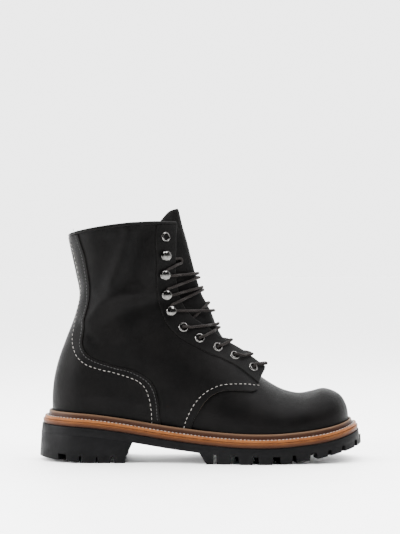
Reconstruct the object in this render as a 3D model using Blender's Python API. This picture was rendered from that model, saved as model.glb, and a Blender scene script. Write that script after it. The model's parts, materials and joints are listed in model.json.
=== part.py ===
"""Lace-up leather work boot for the right foot, on a lugged rubber sole.

All sizes are in millimetres and become metres when a mesh is made. The toe points along +X, the
lateral side faces -Y and the medial side faces +Y. The floor is z = 0. The last is laid out from the
middle of its own length, and every mesh is then moved so that the origin lies under the middle of the
boot's box.
"""

import math

import bmesh
import bpy
import numpy as np

MILLIMETRE = 0.001
FRAME_CENTRE = (0.721, -1.145, 0.0)
LATERAL, MEDIAL = -1, 1
SIDE_NAMES = {LATERAL: "lateral", MEDIAL: "medial"}

# Clearances
SEAT_GAP = 0.3
WELT_GAP = 0.6
OVERLAY_GAP = 0.4

# Wall and layer thicknesses
VAMP_WALL = 2.0
QUARTER_LIFT = 1.6
QUARTER_INSIDE = 1.0
COUNTER_THICKNESS = 1.4
EYESTAY_THICKNESS = 1.1
TONGUE_DEPTH = 2.4
TONGUE_THICKNESS = 1.8
INSOLE_THICKNESS = 3.0
INSOLE_GAP = 1.2
MIDSOLE_THICKNESS = 4.5
OUTSOLE_BASE = 7.4

# Last
TOE_TIP_X = 142.2
TOE_ROUND_X = 95.0
TOE_ROUND_POWER = 2.3
HEEL_TIP_X = -137.7
HEEL_ROUND_X = -105.0
HEEL_ROUND_POWER = 2.2
WALL_RISE = 28.0

# Sole edges, measured out from the foot of the upper
WELT_MARGIN = 6.6
MIDSOLE_MARGIN = 8.0
RUBBER_TOP_MARGIN = 8.8
RUBBER_TREAD_MARGIN = 11.2
SIDE_MARGIN_SHARE = 0.78


class Table:
    """A short table with named columns, read smoothly along its first column."""

    def __init__(self, columns, rows):
        self.columns = columns.split()
        self.values = np.array(rows, float)

    def column(self, name):
        return self.values[:, self.columns.index(name)]

    def at(self, name, where):
        return smooth(self.values[:, 0], self.column(name), where)


def smooth(keys, values, where):
    """Cubic curve through the values, with slopes from each value's neighbours, held flat past the ends."""
    where = np.clip(np.asarray(where, float), keys[0], keys[-1])
    slopes = np.gradient(values, keys)
    i = np.clip(np.searchsorted(keys, where, side="right") - 1, 0, len(keys) - 2)
    span = keys[i + 1] - keys[i]
    s = (where - keys[i]) / span
    return (
        values[i] * (1 + 2 * s) * (1 - s) ** 2
        + slopes[i] * span * s * (1 - s) ** 2
        + values[i + 1] * s**2 * (3 - 2 * s)
        + slopes[i + 1] * span * s**2 * (s - 1)
    )


def ease(value):
    """0 below 0, 1 above 1 and smooth between."""
    value = np.clip(value, 0.0, 1.0)
    return value * value * (3 - 2 * value)


# Height of the midsole's top along the foot, and of the tread under it
SOLE = Table(
    "x seat tread",
    [
        (-156, 39.8, 4.6),
        (-130, 38.6, 2.2),
        (-104, 36.9, 0.0),
        (-75, 33.2, 0.0),
        (-55, 30.0, 0.0),
        (-25, 25.4, 0.0),
        (0, 22.4, 0.0),
        (25, 20.2, 0.0),
        (50, 19.2, 0.0),
        (74, 19.4, 0.0),
        (100, 21.6, 3.2),
        (125, 25.8, 8.6),
        (142, 30.4, 12.8),
        (156, 35.2, 17.2),
    ],
)

# Foot of the upper in plan, before its heel and toe are rounded off
PLAN = Table(
    "x lateral medial",
    [
        (-105, -30.5, 29.5),
        (-60, -30.5, 25.5),
        (-15, -36.5, 26.5),
        (25, -45.5, 38.5),
        (55, -49.0, 46.0),
        (95, -42.5, 45.5),
    ],
)

# Back seam of the shaft
BACK = Table(
    "z x",
    [
        (40, -137.7),
        (57, -138.2),
        (75, -136.8),
        (92, -133.0),
        (115, -124.8),
        (138, -116.2),
        (157, -112.4),
        (178, -116.0),
        (200, -120.8),
        (216, -124.0),
        (230, -126.0),
    ],
)

# Sections of the last. Each is a plane that holds the Y axis and runs from a base to a crest. The base of a
# foot section lies on the sole line at base_x, and that of a shaft section on the back seam at base_z.
FOOT_SECTIONS = Table(
    "row base_x crest_x crest_z lateral medial ridge shoulder crown gap bow",
    [
        (0, 142.2, 142.2, 31.6, -44.5, 47.5, 2.5, 0.20, 2.3, 7, 0),
        (1, 140.0, 141.4, 46.0, -44.5, 47.5, 2.5, 0.20, 2.3, 7, 0),
        (2, 134.5, 137.0, 57.4, -44.5, 47.5, 2.5, 0.20, 2.3, 7, 0),
        (3, 127.0, 130.0, 63.6, -44.5, 47.5, 2.5, 0.20, 2.3, 7, 0),
        (4, 116.5, 118.7, 66.9, -44.5, 47.5, 2.6, 0.20, 2.3, 7, 0),
        (5, 104.5, 107.2, 64.4, -45.0, 47.5, 2.8, 0.20, 2.2, 7, 0),
        (6, 91.5, 95.7, 62.5, -46.0, 47.5, 3.2, 0.20, 2.1, 7, 0),
        (7, 77.5, 84.2, 64.4, -48.0, 48.0, 3.6, 0.20, 2.0, 7, 0),
        (8, 62.0, 72.7, 69.1, -50.2, 48.6, 4.0, 0.20, 1.95, 7, 0),
        (9, 42.0, 56.8, 79.6, -51.0, 48.0, 4.0, 0.20, 1.9, 6, 0),
        (10, 29.0, 50.0, 88.5, -49.5, 45.5, 4.0, 0.22, 1.8, 6.5, 0),
        (11, 12.0, 38.6, 101.6, -47.0, 42.0, 4.0, 0.26, 1.7, 7.5, 0),
        (12, -6.0, 27.8, 113.0, -44.0, 38.5, 3.6, 0.30, 1.6, 9.5, 0),
        (13, -27.0, 20.2, 125.2, -41.0, 36.5, 3.0, 0.34, 1.5, 13.5, 0),
        (14, -51.0, 14.6, 139.6, -38.8, 35.5, 2.4, 0.38, 1.5, 18, 0),
        (15, -77.0, 8.7, 150.6, -37.0, 35.0, 1.6, 0.42, 1.5, 19.8, 0),
        (16, -103.0, 4.0, 158.0, -35.6, 34.8, 0.9, 0.46, 1.5, 19.2, 0),
        (17, -123.0, 1.0, 164.0, -35.0, 34.6, 0.4, 0.48, 1.5, 18.4, 0),
        (18, -134.0, -1.0, 169.6, -34.8, 34.6, 0.1, 0.50, 1.5, 18.1, 0),
        (19, -137.7, -2.6, 175.0, -34.8, 34.6, 0.0, 0.50, 1.5, 18, 0),
    ],
)
SHAFT_SECTIONS = Table(
    "row base_z crest_x crest_z lateral medial ridge shoulder crown gap bow",
    [
        (20, 55.0, -4.0, 180.0, -34.8, 34.6, 0.0, 0.50, 1.5, 18, 0),
        (21, 75.0, -5.8, 186.5, -34.8, 34.6, 0.0, 0.50, 1.5, 18.1, 0.2),
        (22, 100.0, -7.8, 193.5, -34.8, 34.6, 0.0, 0.50, 1.5, 18, 0.5),
        (23, 128.0, -9.8, 200.5, -35.2, 35.0, 0.0, 0.50, 1.5, 17.9, 1.0),
        (24, 155.0, -11.7, 207.0, -36.0, 36.0, 0.0, 0.50, 1.5, 17.3, 1.8),
        (25, 180.0, -13.5, 213.0, -37.0, 37.0, 0.0, 0.50, 1.5, 16, 2.7),
        (26, 199.0, -15.2, 218.5, -38.0, 38.0, 0.0, 0.50, 1.5, 14.2, 3.4),
        (27, 211.5, -16.4, 222.5, -38.5, 38.5, 0.0, 0.50, 1.5, 12.6, 3.8),
        (28, 226.0, -20.4, 239.5, -38.5, 38.5, 0.0, 0.50, 1.5, 11, 3.8),
    ],
)
THROAT_ROW = 9.0
HEEL_ROW = 19.0
COLLAR_ROW = 27.0
LAST_ROW = 28.0

# Lower edge of the quarter over the vamp, seen from the side
QUARTER_EDGE = Table(
    "x z",
    [
        (-9.4, 22.0),
        (-7.6, 35.0),
        (-2.0, 46.3),
        (3.7, 56.0),
        (10.7, 62.6),
        (20.5, 66.6),
        (34.4, 67.0),
        (54.0, 65.0),
        (64.0, 63.5),
    ],
)

# Edge of the heel counter and of the back strip above it, seen from the side
COUNTER_EDGE = Table(
    "step x z",
    [
        (0, -36.0, 18.0),
        (1, -37.4, 42.0),
        (2, -40.2, 63.2),
        (3, -46.8, 76.3),
        (4, -62.7, 85.7),
        (5, -80.5, 90.3),
        (6, -101.5, 97.8),
        (7, -108.4, 106.0),
        (8, -109.6, 116.0),
        (9, -105.0, 138.0),
        (10, -102.6, 160.0),
        (11, -106.2, 190.0),
        (12, -111.4, 208.0),
        (13, -115.0, 220.0),
    ],
)

# Free corner of the quarter at the foot of the throat
FLAP_LIFT = 10.0
FLAP_ROWS = 3.4
FLAP_REACH = 26.0
FLAP_JOINED_BELOW = 0.8

# Eyestay, eyelets and hooks
EYESTAY_WIDTH = 24.0
EYELETS = Table(
    "row inset",
    [
        (10.1, 12.0),
        (11.36, 14.0),
        (12.67, 14.0),
        (14.07, 15.0),
        (15.42, 14.5),
        (25.3, 13.0),
    ],
)
HOOKS = Table(
    "row inset",
    [
        (17.79, 15.5),
        (20.33, 15.5),
        (22.21, 15.0),
        (23.75, 14.5),
    ],
)
EYELET_GAP = 0.7
EYELET_SIDES = 8
EYELET_PROFILE = ((2.6, 0.0), (2.7, 1.2), (4.0, 1.2), (4.9, 0.0))
HOOK_STATIONS = Table(
    "away off half_width",
    [
        (3.6, 0.5, 2.6),
        (1.0, 0.5, 3.8),
        (-2.4, 0.5, 3.4),
        (-4.3, 1.3, 2.6),
        (-4.6, 2.6, 2.5),
        (-3.4, 4.0, 2.9),
        (0.0, 4.8, 4.1),
        (3.0, 4.4, 3.4),
        (4.4, 3.7, 1.8),
    ],
)
HOOK_THICKNESS = 0.9

# Tongue
TONGUE_ROWS = (8.3, 9, 10, 11, 12, 13, 14, 15, 16.5, 18, 20, 22, 24, 26)
TONGUE_LAP = 12.0
TONGUE_TOP_LAP = 10.0
TONGUE_TOP_ROW = 27.97
TONGUE_CORNER_ROW = 27.3
TONGUE_TOP_POWER = 2.5
TONGUE_CELLS = 8

# Collar binding
BINDING_HALF_WIDTH = 2.3
BINDING_HALF_HEIGHT = 2.0
BINDING_SIDES = 8

# Laces
LACE_RADIUS = 1.35
LACE_SIDES = 5
LACE_GAP = 1.4
LACE_STEP = 2.3
LACED_ROWS = (*EYELETS.column("row")[:5], *HOOKS.column("row")[:3])

# Sole
RING_CELLS = 30
SEAM_STEP_X = (16.0, 3.0)
COUNTER_STEP_X = (-12.0, -26.0)
LIP_HEIGHT = 8.0
WELT_PROFILE = Table(
    "share out height",
    [
        (0, 0.0, 0.3),
        (0, WELT_MARGIN, 0.3),
        (0, WELT_MARGIN, 2.7),
        (0, WELT_MARGIN - 0.5, 3.2),
        (0.3, 3.4, 3.2),
        (0.6, 2.6, 4.2),
        (1, 2.3, 7.2),
        (1, 1.5, 8.2),
        (1, 0.1, 8.0),
    ],
)
HEEL_BREAST_TOP = -63.0
HEEL_BREAST_TREAD = -72.0
HEEL_CELLS = 26
HEEL_LUG_HEIGHT = 6.0
FOREFOOT_BACK_TOP = -1.5
LUG_DEPTH = 19.0
LUG_DRAFT = 0.8
LUG_SINK = 1.0
FOREFOOT_LUGS = Table(
    "start end",
    [
        (6.0, 12.2),
        (15.5, 28.0),
        (36.0, 48.5),
        (54.5, 67.0),
        (75.0, 85.2),
        (90.0, 102.0),
        (109.2, 118.8),
        (122.8, 132.2),
        (135.8, 145.4),
    ],
)
TOE_LUG_START = 148.2
HEEL_LUGS = Table(
    "start end",
    [
        (-124.8, -113.6),
        (-110.4, -97.4),
        (-95.2, -83.6),
        (-80.0, -70.0),
    ],
)
HEEL_BACK_LUG_END = -132.8
CENTRE_LUGS = Table(
    "start end half_width",
    [
        (17.0, 27.0, 25.0),
        (34.0, 45.0, 28.0),
        (52.0, 63.0, 29.0),
        (70.0, 81.0, 27.0),
        (88.0, 98.0, 23.0),
        (105.0, 114.0, 17.0),
        (120.0, 128.0, 9.0),
        (-98.0, -89.0, 10.0),
        (-112.0, -103.0, 8.0),
    ],
)

SECTION_NAMES = FOOT_SECTIONS.columns[2:]
SECTION_ROWS = np.concatenate([FOOT_SECTIONS.column("row"), SHAFT_SECTIONS.column("row")])
SECTION_VALUES = {
    name: np.concatenate([FOOT_SECTIONS.column(name), SHAFT_SECTIONS.column(name)])
    for name in SECTION_NAMES
}


def seat(x):
    """Height of the midsole's top."""
    return SOLE.at("seat", x)


BASE_X = np.concatenate([FOOT_SECTIONS.column("base_x"), BACK.at("x", SHAFT_SECTIONS.column("base_z"))])
BASE_Z = np.concatenate([seat(FOOT_SECTIONS.column("base_x")) + SEAT_GAP, SHAFT_SECTIONS.column("base_z")])


def section_value(name, row):
    return smooth(SECTION_ROWS, SECTION_VALUES[name], row)


def section_base(row):
    """Where a section starts, in the side view: on the sole line, then up the back seam."""
    x = smooth(SECTION_ROWS, BASE_X, row)
    z = smooth(SECTION_ROWS, BASE_Z, row)
    on_sole = np.asarray(row) <= HEEL_ROW
    return np.where(on_sole, x, BACK.at("x", z)), np.where(on_sole, seat(x) + SEAT_GAP, z)


def rounded(share, power):
    """Superellipse quarter: 1 at share 0, 0 at share 1."""
    return np.maximum(1 - np.clip(share, 0, 1) ** power, 0) ** (1 / power)


def last(row, t, side):
    """Points of the last's surface: row picks the section, t runs along it from base to crest."""
    row, t = np.broadcast_arrays(np.asarray(row, float), np.asarray(t, float))
    base_x, base_z = section_base(row)
    crest_x, crest_z = section_value("crest_x", row), section_value("crest_z", row)
    bow = section_value("bow", row) * 4 * t * (1 - t)
    x = base_x + (crest_x - base_x) * t
    z = base_z + (crest_z - base_z) * t + bow
    name = SIDE_NAMES[side]
    foot = PLAN.at(name, x)
    height = z - seat(x) - SEAT_GAP
    wide = foot + (section_value(name, row) - foot) * ease(height / WALL_RISE)
    shoulder = section_value("shoulder", row)
    crown = rounded((t - shoulder) / (1 - shoulder), section_value("crown", row))
    toe = rounded((x - TOE_ROUND_X) / (TOE_TIP_X - TOE_ROUND_X), TOE_ROUND_POWER)
    from_back = x - BACK.at("x", z) + HEEL_TIP_X
    heel = rounded((HEEL_ROUND_X - from_back) / (HEEL_ROUND_X - HEEL_TIP_X), HEEL_ROUND_POWER)
    ridge = section_value("ridge", row)
    return np.stack([x, ridge + (wide - ridge) * crown * toe * heel, z], axis=-1)


def profile_normal(row, t, sign):
    """Normals in the side view, along the crest or up the back seam."""
    ahead, behind = last(row + 0.02, t, LATERAL), last(row - 0.02, t, LATERAL)
    run = ahead - behind
    return np.stack([sign * run[..., 2], np.zeros_like(row), -sign * run[..., 0]], axis=-1)


def outward(row, t, side):
    """Unit normals of the last, pointing out."""
    row, t = np.broadcast_arrays(np.asarray(row, float), np.asarray(t, float))
    at_tip = (row <= 0)[..., None]
    on_crest = (t >= 1)[..., None]
    on_back = ((t <= 0) & (row >= HEEL_ROW))[..., None]
    row = np.clip(row, 0.08, LAST_ROW - 0.02)
    inside = np.clip(t, 0.004, 0.996)
    along = last(row + 0.02, inside, side) - last(row - 0.02, inside, side)
    up = last(row, inside + 0.003, side) - last(row, inside - 0.003, side)
    normal = np.cross(along, up) * side
    normal = np.where(on_crest, profile_normal(row, np.ones_like(t), 1), normal)
    seam_row = np.maximum(row, HEEL_ROW + 0.03)
    normal = np.where(on_back, profile_normal(seam_row, np.zeros_like(t), -1), normal)
    normal = np.where(at_tip, (1.0, 0.0, 0.0), normal)
    return normal / np.linalg.norm(normal, axis=-1, keepdims=True)


def raised(row, t, side, lift):
    """Points of the last moved out by lift."""
    return last(row, t, side) + outward(row, t, side) * np.asarray(lift, float)[..., None]


class Section:
    """One section of the last on one side, with lengths measured along it."""

    SAMPLES = 161
    TURN_WEIGHT = 22.0

    def __init__(self, row, side):
        self.row, self.side = row, side
        self.t = 1 - (1 - np.linspace(0, 1, self.SAMPLES)) ** 2
        self.points = last(row, self.t, side)
        runs = np.diff(self.points, axis=0)
        steps = np.linalg.norm(runs, axis=1)
        self.along = np.concatenate([[0], np.cumsum(steps)])
        self.length = self.along[-1]
        heading = np.arctan2(runs[:, 1] * side, np.linalg.norm(runs[:, ::2], axis=1))
        turns = np.concatenate([[0], np.abs(np.diff(heading))])
        self.spread = np.concatenate([[0], np.cumsum(steps + self.TURN_WEIGHT * turns)])
        self.aside = np.abs(self.points[:, 1] - section_value("ridge", row))

    def t_at(self, length):
        return np.interp(length, self.along, self.t)

    def t_aside(self, distance):
        """Where the front of the section lies a distance to the side of the ridge."""
        widest = int(np.argmax(self.aside))
        return np.interp(distance, self.aside[widest:][::-1], self.t[widest:][::-1])

    def split(self, start, end, cells):
        """Lengths from start to end, closer together where the section turns."""
        low, high = np.interp((start, end), self.along, self.spread)
        lengths = np.interp(np.linspace(low, high, cells + 1), self.spread, self.along)
        lengths[0], lengths[-1] = start, end
        return lengths

    def throat(self):
        """Length up to the throat's edge."""
        return float(np.interp(self.t_aside(section_value("gap", self.row)), self.t, self.along))

    def quarter(self):
        """Length up to the quarter's lower edge."""
        x, z = self.points[:, 0], self.points[:, 2]
        above = (z > QUARTER_EDGE.at("z", x)) | (x < QUARTER_EDGE.column("x")[0])
        return float(self.along[np.argmax(above)])

    def counter(self):
        """Length up to the counter's edge."""
        steps = np.linspace(0, COUNTER_EDGE.column("step")[-1], 261)
        edge = np.stack([COUNTER_EDGE.at("x", steps), COUNTER_EDGE.at("z", steps)], axis=1)
        apart = np.linalg.norm(self.points[:, None, ::2] - edge[None], axis=2).min(axis=1)
        return float(self.along[np.argmin(apart)])


def flap_lift(section, length):
    """How far the quarter's free corner stands off, fading away from the foot of the throat."""
    fade_back = np.clip(1 - (section.row - THROAT_ROW) / FLAP_ROWS, 0, 1) ** 1.4
    fade_down = np.clip(1 - (section.throat() - np.asarray(length)) / FLAP_REACH, 0, 1) ** 1.8
    return FLAP_LIFT * fade_back * fade_down


def skin(row, length, side, lift):
    """A point over the quarter's outer face, and the frame there: away from the throat, along it, and out."""

    def point(at_row, at_length):
        section = Section(at_row, side)
        height = QUARTER_LIFT + flap_lift(section, at_length) + lift
        return raised(at_row, section.t_at(at_length), side, height)

    here = point(row, length)
    away = point(row, length - 0.5) - point(row, length + 0.5)
    shift = Section(row + 0.05, side).throat() - Section(row - 0.05, side).throat()
    along = point(row + 0.05, length + shift / 2) - point(row - 0.05, length - shift / 2)
    out = np.cross(away, along) * side
    away, out = away / np.linalg.norm(away), out / np.linalg.norm(out)
    return here, np.stack([away, np.cross(out, away), out])


class Sheet:
    """A sheet of triangles whose corners each hold an outer and an inner point, thickened into one solid."""

    def __init__(self):
        self.corners, self.index, self.faces = [], {}, []

    def corner(self, outer, inner):
        key = tuple(np.round(np.concatenate([outer, inner]), 3))
        if key not in self.index:
            self.index[key] = len(self.corners)
            self.corners.append((outer, inner))
        return self.index[key]

    def grid(self, outer, inner, flip):
        """Adds a grid from two arrays of rows of points, with every cell cut along the same diagonal."""
        ids = [[self.corner(o, i) for o, i in zip(*pair)] for pair in zip(outer, inner)]
        for near, far in zip(ids[:-1], ids[1:]):
            for k in range(len(near) - 1):
                for loop in ([near[k], near[k + 1], far[k + 1]], [near[k], far[k + 1], far[k]]):
                    if len(set(loop)) == 3:
                        self.faces.append(loop[::-1] if flip else loop)

    def solid(self, name, finish):
        outer = [o for o, _ in self.corners]
        inner = [i for _, i in self.corners]
        count = len(self.corners)
        edges = {}
        for face in self.faces:
            for a, b in zip(face, face[1:] + face[:1]):
                edges[(a, b)] = edges.get((a, b), 0) + 1
        faces = [list(face) for face in self.faces]
        faces += [[v + count for v in reversed(face)] for face in self.faces]
        for a, b in edges:
            if (b, a) not in edges:
                faces.append([b, a, a + count, b + count])
        return make_object(name, outer + inner, faces, finish)


FINISHES = {
    "black_leather": ((0.012, 0.012, 0.013), 0.45, 0.0),
    "tan_leather": ((0.42, 0.17, 0.06), 0.55, 0.0),
    "black_rubber": ((0.022, 0.023, 0.025), 0.6, 0.0),
    "insole_leather": ((0.30, 0.20, 0.12), 0.7, 0.0),
    "nickel": ((0.75, 0.74, 0.71), 0.22, 1.0),
    "brown_lace": ((0.06, 0.042, 0.036), 0.8, 0.0),
}


def material(finish):
    found = bpy.data.materials.get(finish)
    if found:
        return found
    colour, roughness, metallic = FINISHES[finish]
    made = bpy.data.materials.new(finish)
    made.use_nodes = True
    shader = made.node_tree.nodes["Principled BSDF"]
    shader.inputs["Base Color"].default_value = (*colour, 1)
    shader.inputs["Roughness"].default_value = roughness
    shader.inputs["Metallic"].default_value = metallic
    made.diffuse_color = (*colour, 1)
    return made


def make_object(name, points, faces, finish):
    """One named object from points in millimetres. Points that coincide become one."""
    mesh = bpy.data.meshes.new(name)
    placed = (np.asarray(points, float) - FRAME_CENTRE) * MILLIMETRE
    mesh.from_pydata(placed.tolist(), [], faces)
    work = bmesh.new()
    work.from_mesh(mesh)
    bmesh.ops.remove_doubles(work, verts=work.verts, dist=0.01 * MILLIMETRE)
    bmesh.ops.dissolve_degenerate(work, dist=0.002 * MILLIMETRE, edges=work.edges)
    bmesh.ops.recalc_face_normals(work, faces=work.faces)
    bmesh.ops.triangulate(work, faces=[f for f in work.faces if len(f.verts) > 4])
    work.to_mesh(mesh)
    work.free()
    mesh.shade_smooth()
    mesh.set_sharp_from_angle(angle=math.radians(35))
    mesh.materials.append(material(finish))
    made = bpy.data.objects.new(name, mesh)
    bpy.context.scene.collection.objects.link(made)
    return made


def clear_scene():
    for old in list(bpy.data.objects):
        bpy.data.objects.remove(old)


def unite(body, others):
    """Joins other objects to a body, which keeps its name."""
    for other in others:
        joint = body.modifiers.new(other.name, "BOOLEAN")
        joint.operation = "UNION"
        joint.solver = "EXACT"
        joint.object = other
    bpy.context.view_layer.update()
    joined = bpy.data.meshes.new_from_object(body.evaluated_get(bpy.context.evaluated_depsgraph_get()))
    body.modifiers.clear()
    body.data = joined
    for other in others:
        bpy.data.objects.remove(other)
    return body


def tube_faces(stations, sides):
    """Faces of a closed tube from station to station, with both ends capped."""
    faces = []
    for i in range(stations - 1):
        for k in range(sides):
            n = (k + 1) % sides
            faces.append([i * sides + k, i * sides + n, (i + 1) * sides + n, (i + 1) * sides + k])
    faces.append(list(range(sides))[::-1])
    faces.append([(stations - 1) * sides + k for k in range(sides)])
    return faces


# Upper

COUNTER_START_ROW = 13.42
VAMP_ROWS = (0, 0.5, 1.1, 2, 3, 4, 5, 6, 7, 8, 9)
QUARTER_ROWS = (9, 9.7, 10.4, 11.1, 11.6, 11.95)
MIDDLE_ROWS = (12.8,)
SHAFT_ROWS = (COUNTER_START_ROW, 14, 15, 16, 16.6, 17.2, 17.8, 18.4, 19, 19.7, 20.4, 21.2, 22.2, 23.2, 24.1, 25, 27)
LOWER_CELLS = 4
COUNTER_CELLS = 5
QUARTER_CELLS = 3
EYESTAY_CELLS = 3
CREST_CELLS = 2


def seam_foot_row():
    """Section whose base lies where the quarter's edge meets the sole."""
    rows = np.linspace(11, 14, 301)
    x, _ = section_base(rows)
    return float(rows[np.argmin(np.abs(x - QUARTER_EDGE.column("x")[0]))])


def eyestay_lengths(section):
    """Lengths across the eyestay, up to the throat's edge."""
    return np.linspace(section.throat() - EYESTAY_WIDTH, section.throat(), EYESTAY_CELLS + 1)


def counter_lengths(section):
    """Lengths across the counter, from the sole or the back seam to its edge."""
    return section.split(0.0, max(section.counter(), 2.0), COUNTER_CELLS)


def quarter_lengths(section, start):
    """Lengths from the quarter's lower edge to the throat's edge, with stops at the counter and the eyestay."""
    eyestay = eyestay_lengths(section)
    if section.row < COUNTER_START_ROW:
        lower = section.split(start, start + 0.35 * (eyestay[0] - start), COUNTER_CELLS)
    else:
        lower = counter_lengths(section)
    middle = section.split(lower[-1], eyestay[0], QUARTER_CELLS)
    return np.concatenate([lower, middle[1:], eyestay[1:]])


def quarter_inner(lift):
    """Inner face of the quarter: level with the vamp's where it laps the vamp, then nearer its own face."""
    inner = lift - QUARTER_LIFT - QUARTER_INSIDE
    inner[:2] = -VAMP_WALL
    return inner


def add_upper_side(sheet, side, seam_row):
    flip = side == LATERAL
    throat = Section(THROAT_ROW, side)
    seam_share = throat.quarter() / throat.length
    throat_lengths = quarter_lengths(throat, throat.quarter())
    line_share = throat.throat() / throat.length

    outer, inner = [], []
    for row in VAMP_ROWS:
        section = Section(row, side)
        shares = np.concatenate(
            [
                np.linspace(0, seam_share, LOWER_CELLS + 1),
                throat_lengths[1:] / throat.length,
                np.linspace(line_share, 1, CREST_CELLS + 1)[1:],
            ]
        )
        t = section.t_at(shares * section.length) if row > 0 else np.zeros_like(shares)
        outer.append(raised(row, t, side, np.zeros_like(t)))
        inner.append(raised(row, t, side, np.full_like(t, -VAMP_WALL)))
    sheet.grid(outer, inner, flip)
    front_outer = outer[-1][LOWER_CELLS:-CREST_CELLS]
    front_inner = inner[-1][LOWER_CELLS:-CREST_CELLS]

    lower_outer, lower_inner, upper_outer, upper_inner = [], [], [], []
    for row in (*QUARTER_ROWS, seam_row, *MIDDLE_ROWS, *SHAFT_ROWS):
        section = Section(row, side)
        start = section.quarter() if row < seam_row else 0.0
        if row <= seam_row:
            t = section.t_at(np.linspace(0, start, LOWER_CELLS + 1))
            lower_outer.append(raised(row, t, side, np.zeros_like(t)))
            lower_inner.append(raised(row, t, side, np.full_like(t, -VAMP_WALL)))
        lengths = quarter_lengths(section, start)
        t = section.t_at(lengths)
        lift = QUARTER_LIFT + flap_lift(section, lengths)
        upper_outer.append(raised(row, t, side, lift))
        upper_inner.append(raised(row, t, side, quarter_inner(lift)))
    sheet.grid(lower_outer, lower_inner, flip)
    sheet.grid(upper_outer, upper_inner, flip)

    step_outer = [[rows[-1] for rows in lower_outer], [rows[0] for rows in upper_outer]]
    step_inner = [[rows[-1] for rows in lower_inner], [rows[0] for rows in upper_inner]]
    sheet.grid(step_outer, step_inner, not flip)
    joined = int(np.argmax(flap_lift(throat, throat_lengths) > FLAP_JOINED_BELOW))
    sheet.grid(
        [front_outer[:joined], upper_outer[0][:joined]],
        [front_inner[:joined], upper_inner[0][:joined]],
        flip,
    )


def build_upper():
    sheet = Sheet()
    seam_row = seam_foot_row()
    for side in (LATERAL, MEDIAL):
        add_upper_side(sheet, side, seam_row)
    return sheet.solid("upper", "black_leather")


# Overlays


def build_counter():
    sheet = Sheet()
    under = QUARTER_LIFT + OVERLAY_GAP
    for side in (LATERAL, MEDIAL):
        outer, inner = [], []
        for row in SHAFT_ROWS:
            section = Section(row, side)
            t = section.t_at(counter_lengths(section))
            outer.append(raised(row, t, side, np.full_like(t, under + COUNTER_THICKNESS)))
            inner.append(raised(row, t, side, np.full_like(t, under)))
        sheet.grid(outer, inner, side == LATERAL)
    return sheet.solid("heel_counter", "black_leather")


def build_eyestay(side):
    sheet = Sheet()
    outer, inner = [], []
    for row in (*QUARTER_ROWS, seam_foot_row(), *MIDDLE_ROWS, *SHAFT_ROWS):
        section = Section(row, side)
        lengths = eyestay_lengths(section)
        t = section.t_at(lengths)
        under = QUARTER_LIFT + OVERLAY_GAP + flap_lift(section, lengths)
        outer.append(raised(row, t, side, under + EYESTAY_THICKNESS))
        inner.append(raised(row, t, side, under))
    sheet.grid(outer, inner, side == LATERAL)
    return sheet.solid("eyestay_" + SIDE_NAMES[side], "black_leather")


def build_binding():
    """Rolled edge on the collar, from the lateral throat round the back to the medial throat."""
    centre = (QUARTER_LIFT - QUARTER_INSIDE) / 2
    stations = []
    for side, order in ((LATERAL, -1), (MEDIAL, 1)):
        section = Section(COLLAR_ROW, side)
        t = section.t_at(section.split(0.0, section.throat(), 10))[::order]
        out = outward(COLLAR_ROW, t, side)
        up = last(COLLAR_ROW + 0.05, t, side) - last(COLLAR_ROW - 0.05, t, side)
        up -= out * np.sum(up * out, axis=1, keepdims=True)
        up /= np.linalg.norm(up, axis=1, keepdims=True)
        lift = OVERLAY_GAP + BINDING_HALF_HEIGHT
        middle = raised(COLLAR_ROW, t, side, np.full_like(t, centre)) + up * lift
        stations += list(zip(middle, out, up))[: len(t) - (side == LATERAL)]
    points = []
    for middle, out, up in stations:
        for k in range(BINDING_SIDES):
            angle = 2 * math.pi * (k + 0.5) / BINDING_SIDES
            across = out * math.cos(angle) * BINDING_HALF_WIDTH
            points.append(middle + across + up * math.sin(angle) * BINDING_HALF_HEIGHT)
    return make_object("collar_binding", points, tube_faces(len(stations), BINDING_SIDES), "black_leather")


def build_tongue():
    sheet = Sheet()
    shares = np.linspace(-1, 1, TONGUE_CELLS + 1)
    outer, inner = [], []
    for step in range(len(TONGUE_ROWS) + 3):
        outer_row, inner_row = [], []
        for share in shares:
            side = MEDIAL if share > 0 else LATERAL
            end = TONGUE_CORNER_ROW + (TONGUE_TOP_ROW - TONGUE_CORNER_ROW) * (1 - abs(share) ** TONGUE_TOP_POWER)
            row = TONGUE_ROWS[step] if step < len(TONGUE_ROWS) else 26 + (end - 26) * (step - 13) / 3
            section = Section(row, side)
            reach = section_value("gap", row) + TONGUE_LAP
            reach += (TONGUE_TOP_LAP - TONGUE_LAP) * ease((row - 15) / 10)
            t = section.t_aside(abs(share) * reach) if share else 1.0
            outer_row.append(raised(row, t, side, -TONGUE_DEPTH))
            inner_row.append(raised(row, t, side, -TONGUE_DEPTH - TONGUE_THICKNESS))
        outer.append(np.array(outer_row))
        inner.append(np.array(inner_row))
    sheet.grid(outer, inner, True)
    return sheet.solid("tongue", "black_leather")


# Eyelets, hooks and laces


def build_eyelet(row, inset, side, name):
    section = Section(row, side)
    lift = OVERLAY_GAP + EYESTAY_THICKNESS + EYELET_GAP
    centre, frame = skin(row, section.throat() - inset, side, lift)
    points = []
    for k in range(EYELET_SIDES):
        angle = 2 * math.pi * k / EYELET_SIDES
        spoke = frame[0] * math.cos(angle) + frame[1] * math.sin(angle)
        points += [centre + spoke * radius + frame[2] * height for radius, height in EYELET_PROFILE]
    count = len(EYELET_PROFILE)
    faces = []
    for k in range(EYELET_SIDES):
        n = (k + 1) % EYELET_SIDES
        for j in range(count):
            m = (j + 1) % count
            faces.append([k * count + j, k * count + m, n * count + m, n * count + j])
    return make_object(name, points, faces, "nickel")


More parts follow.
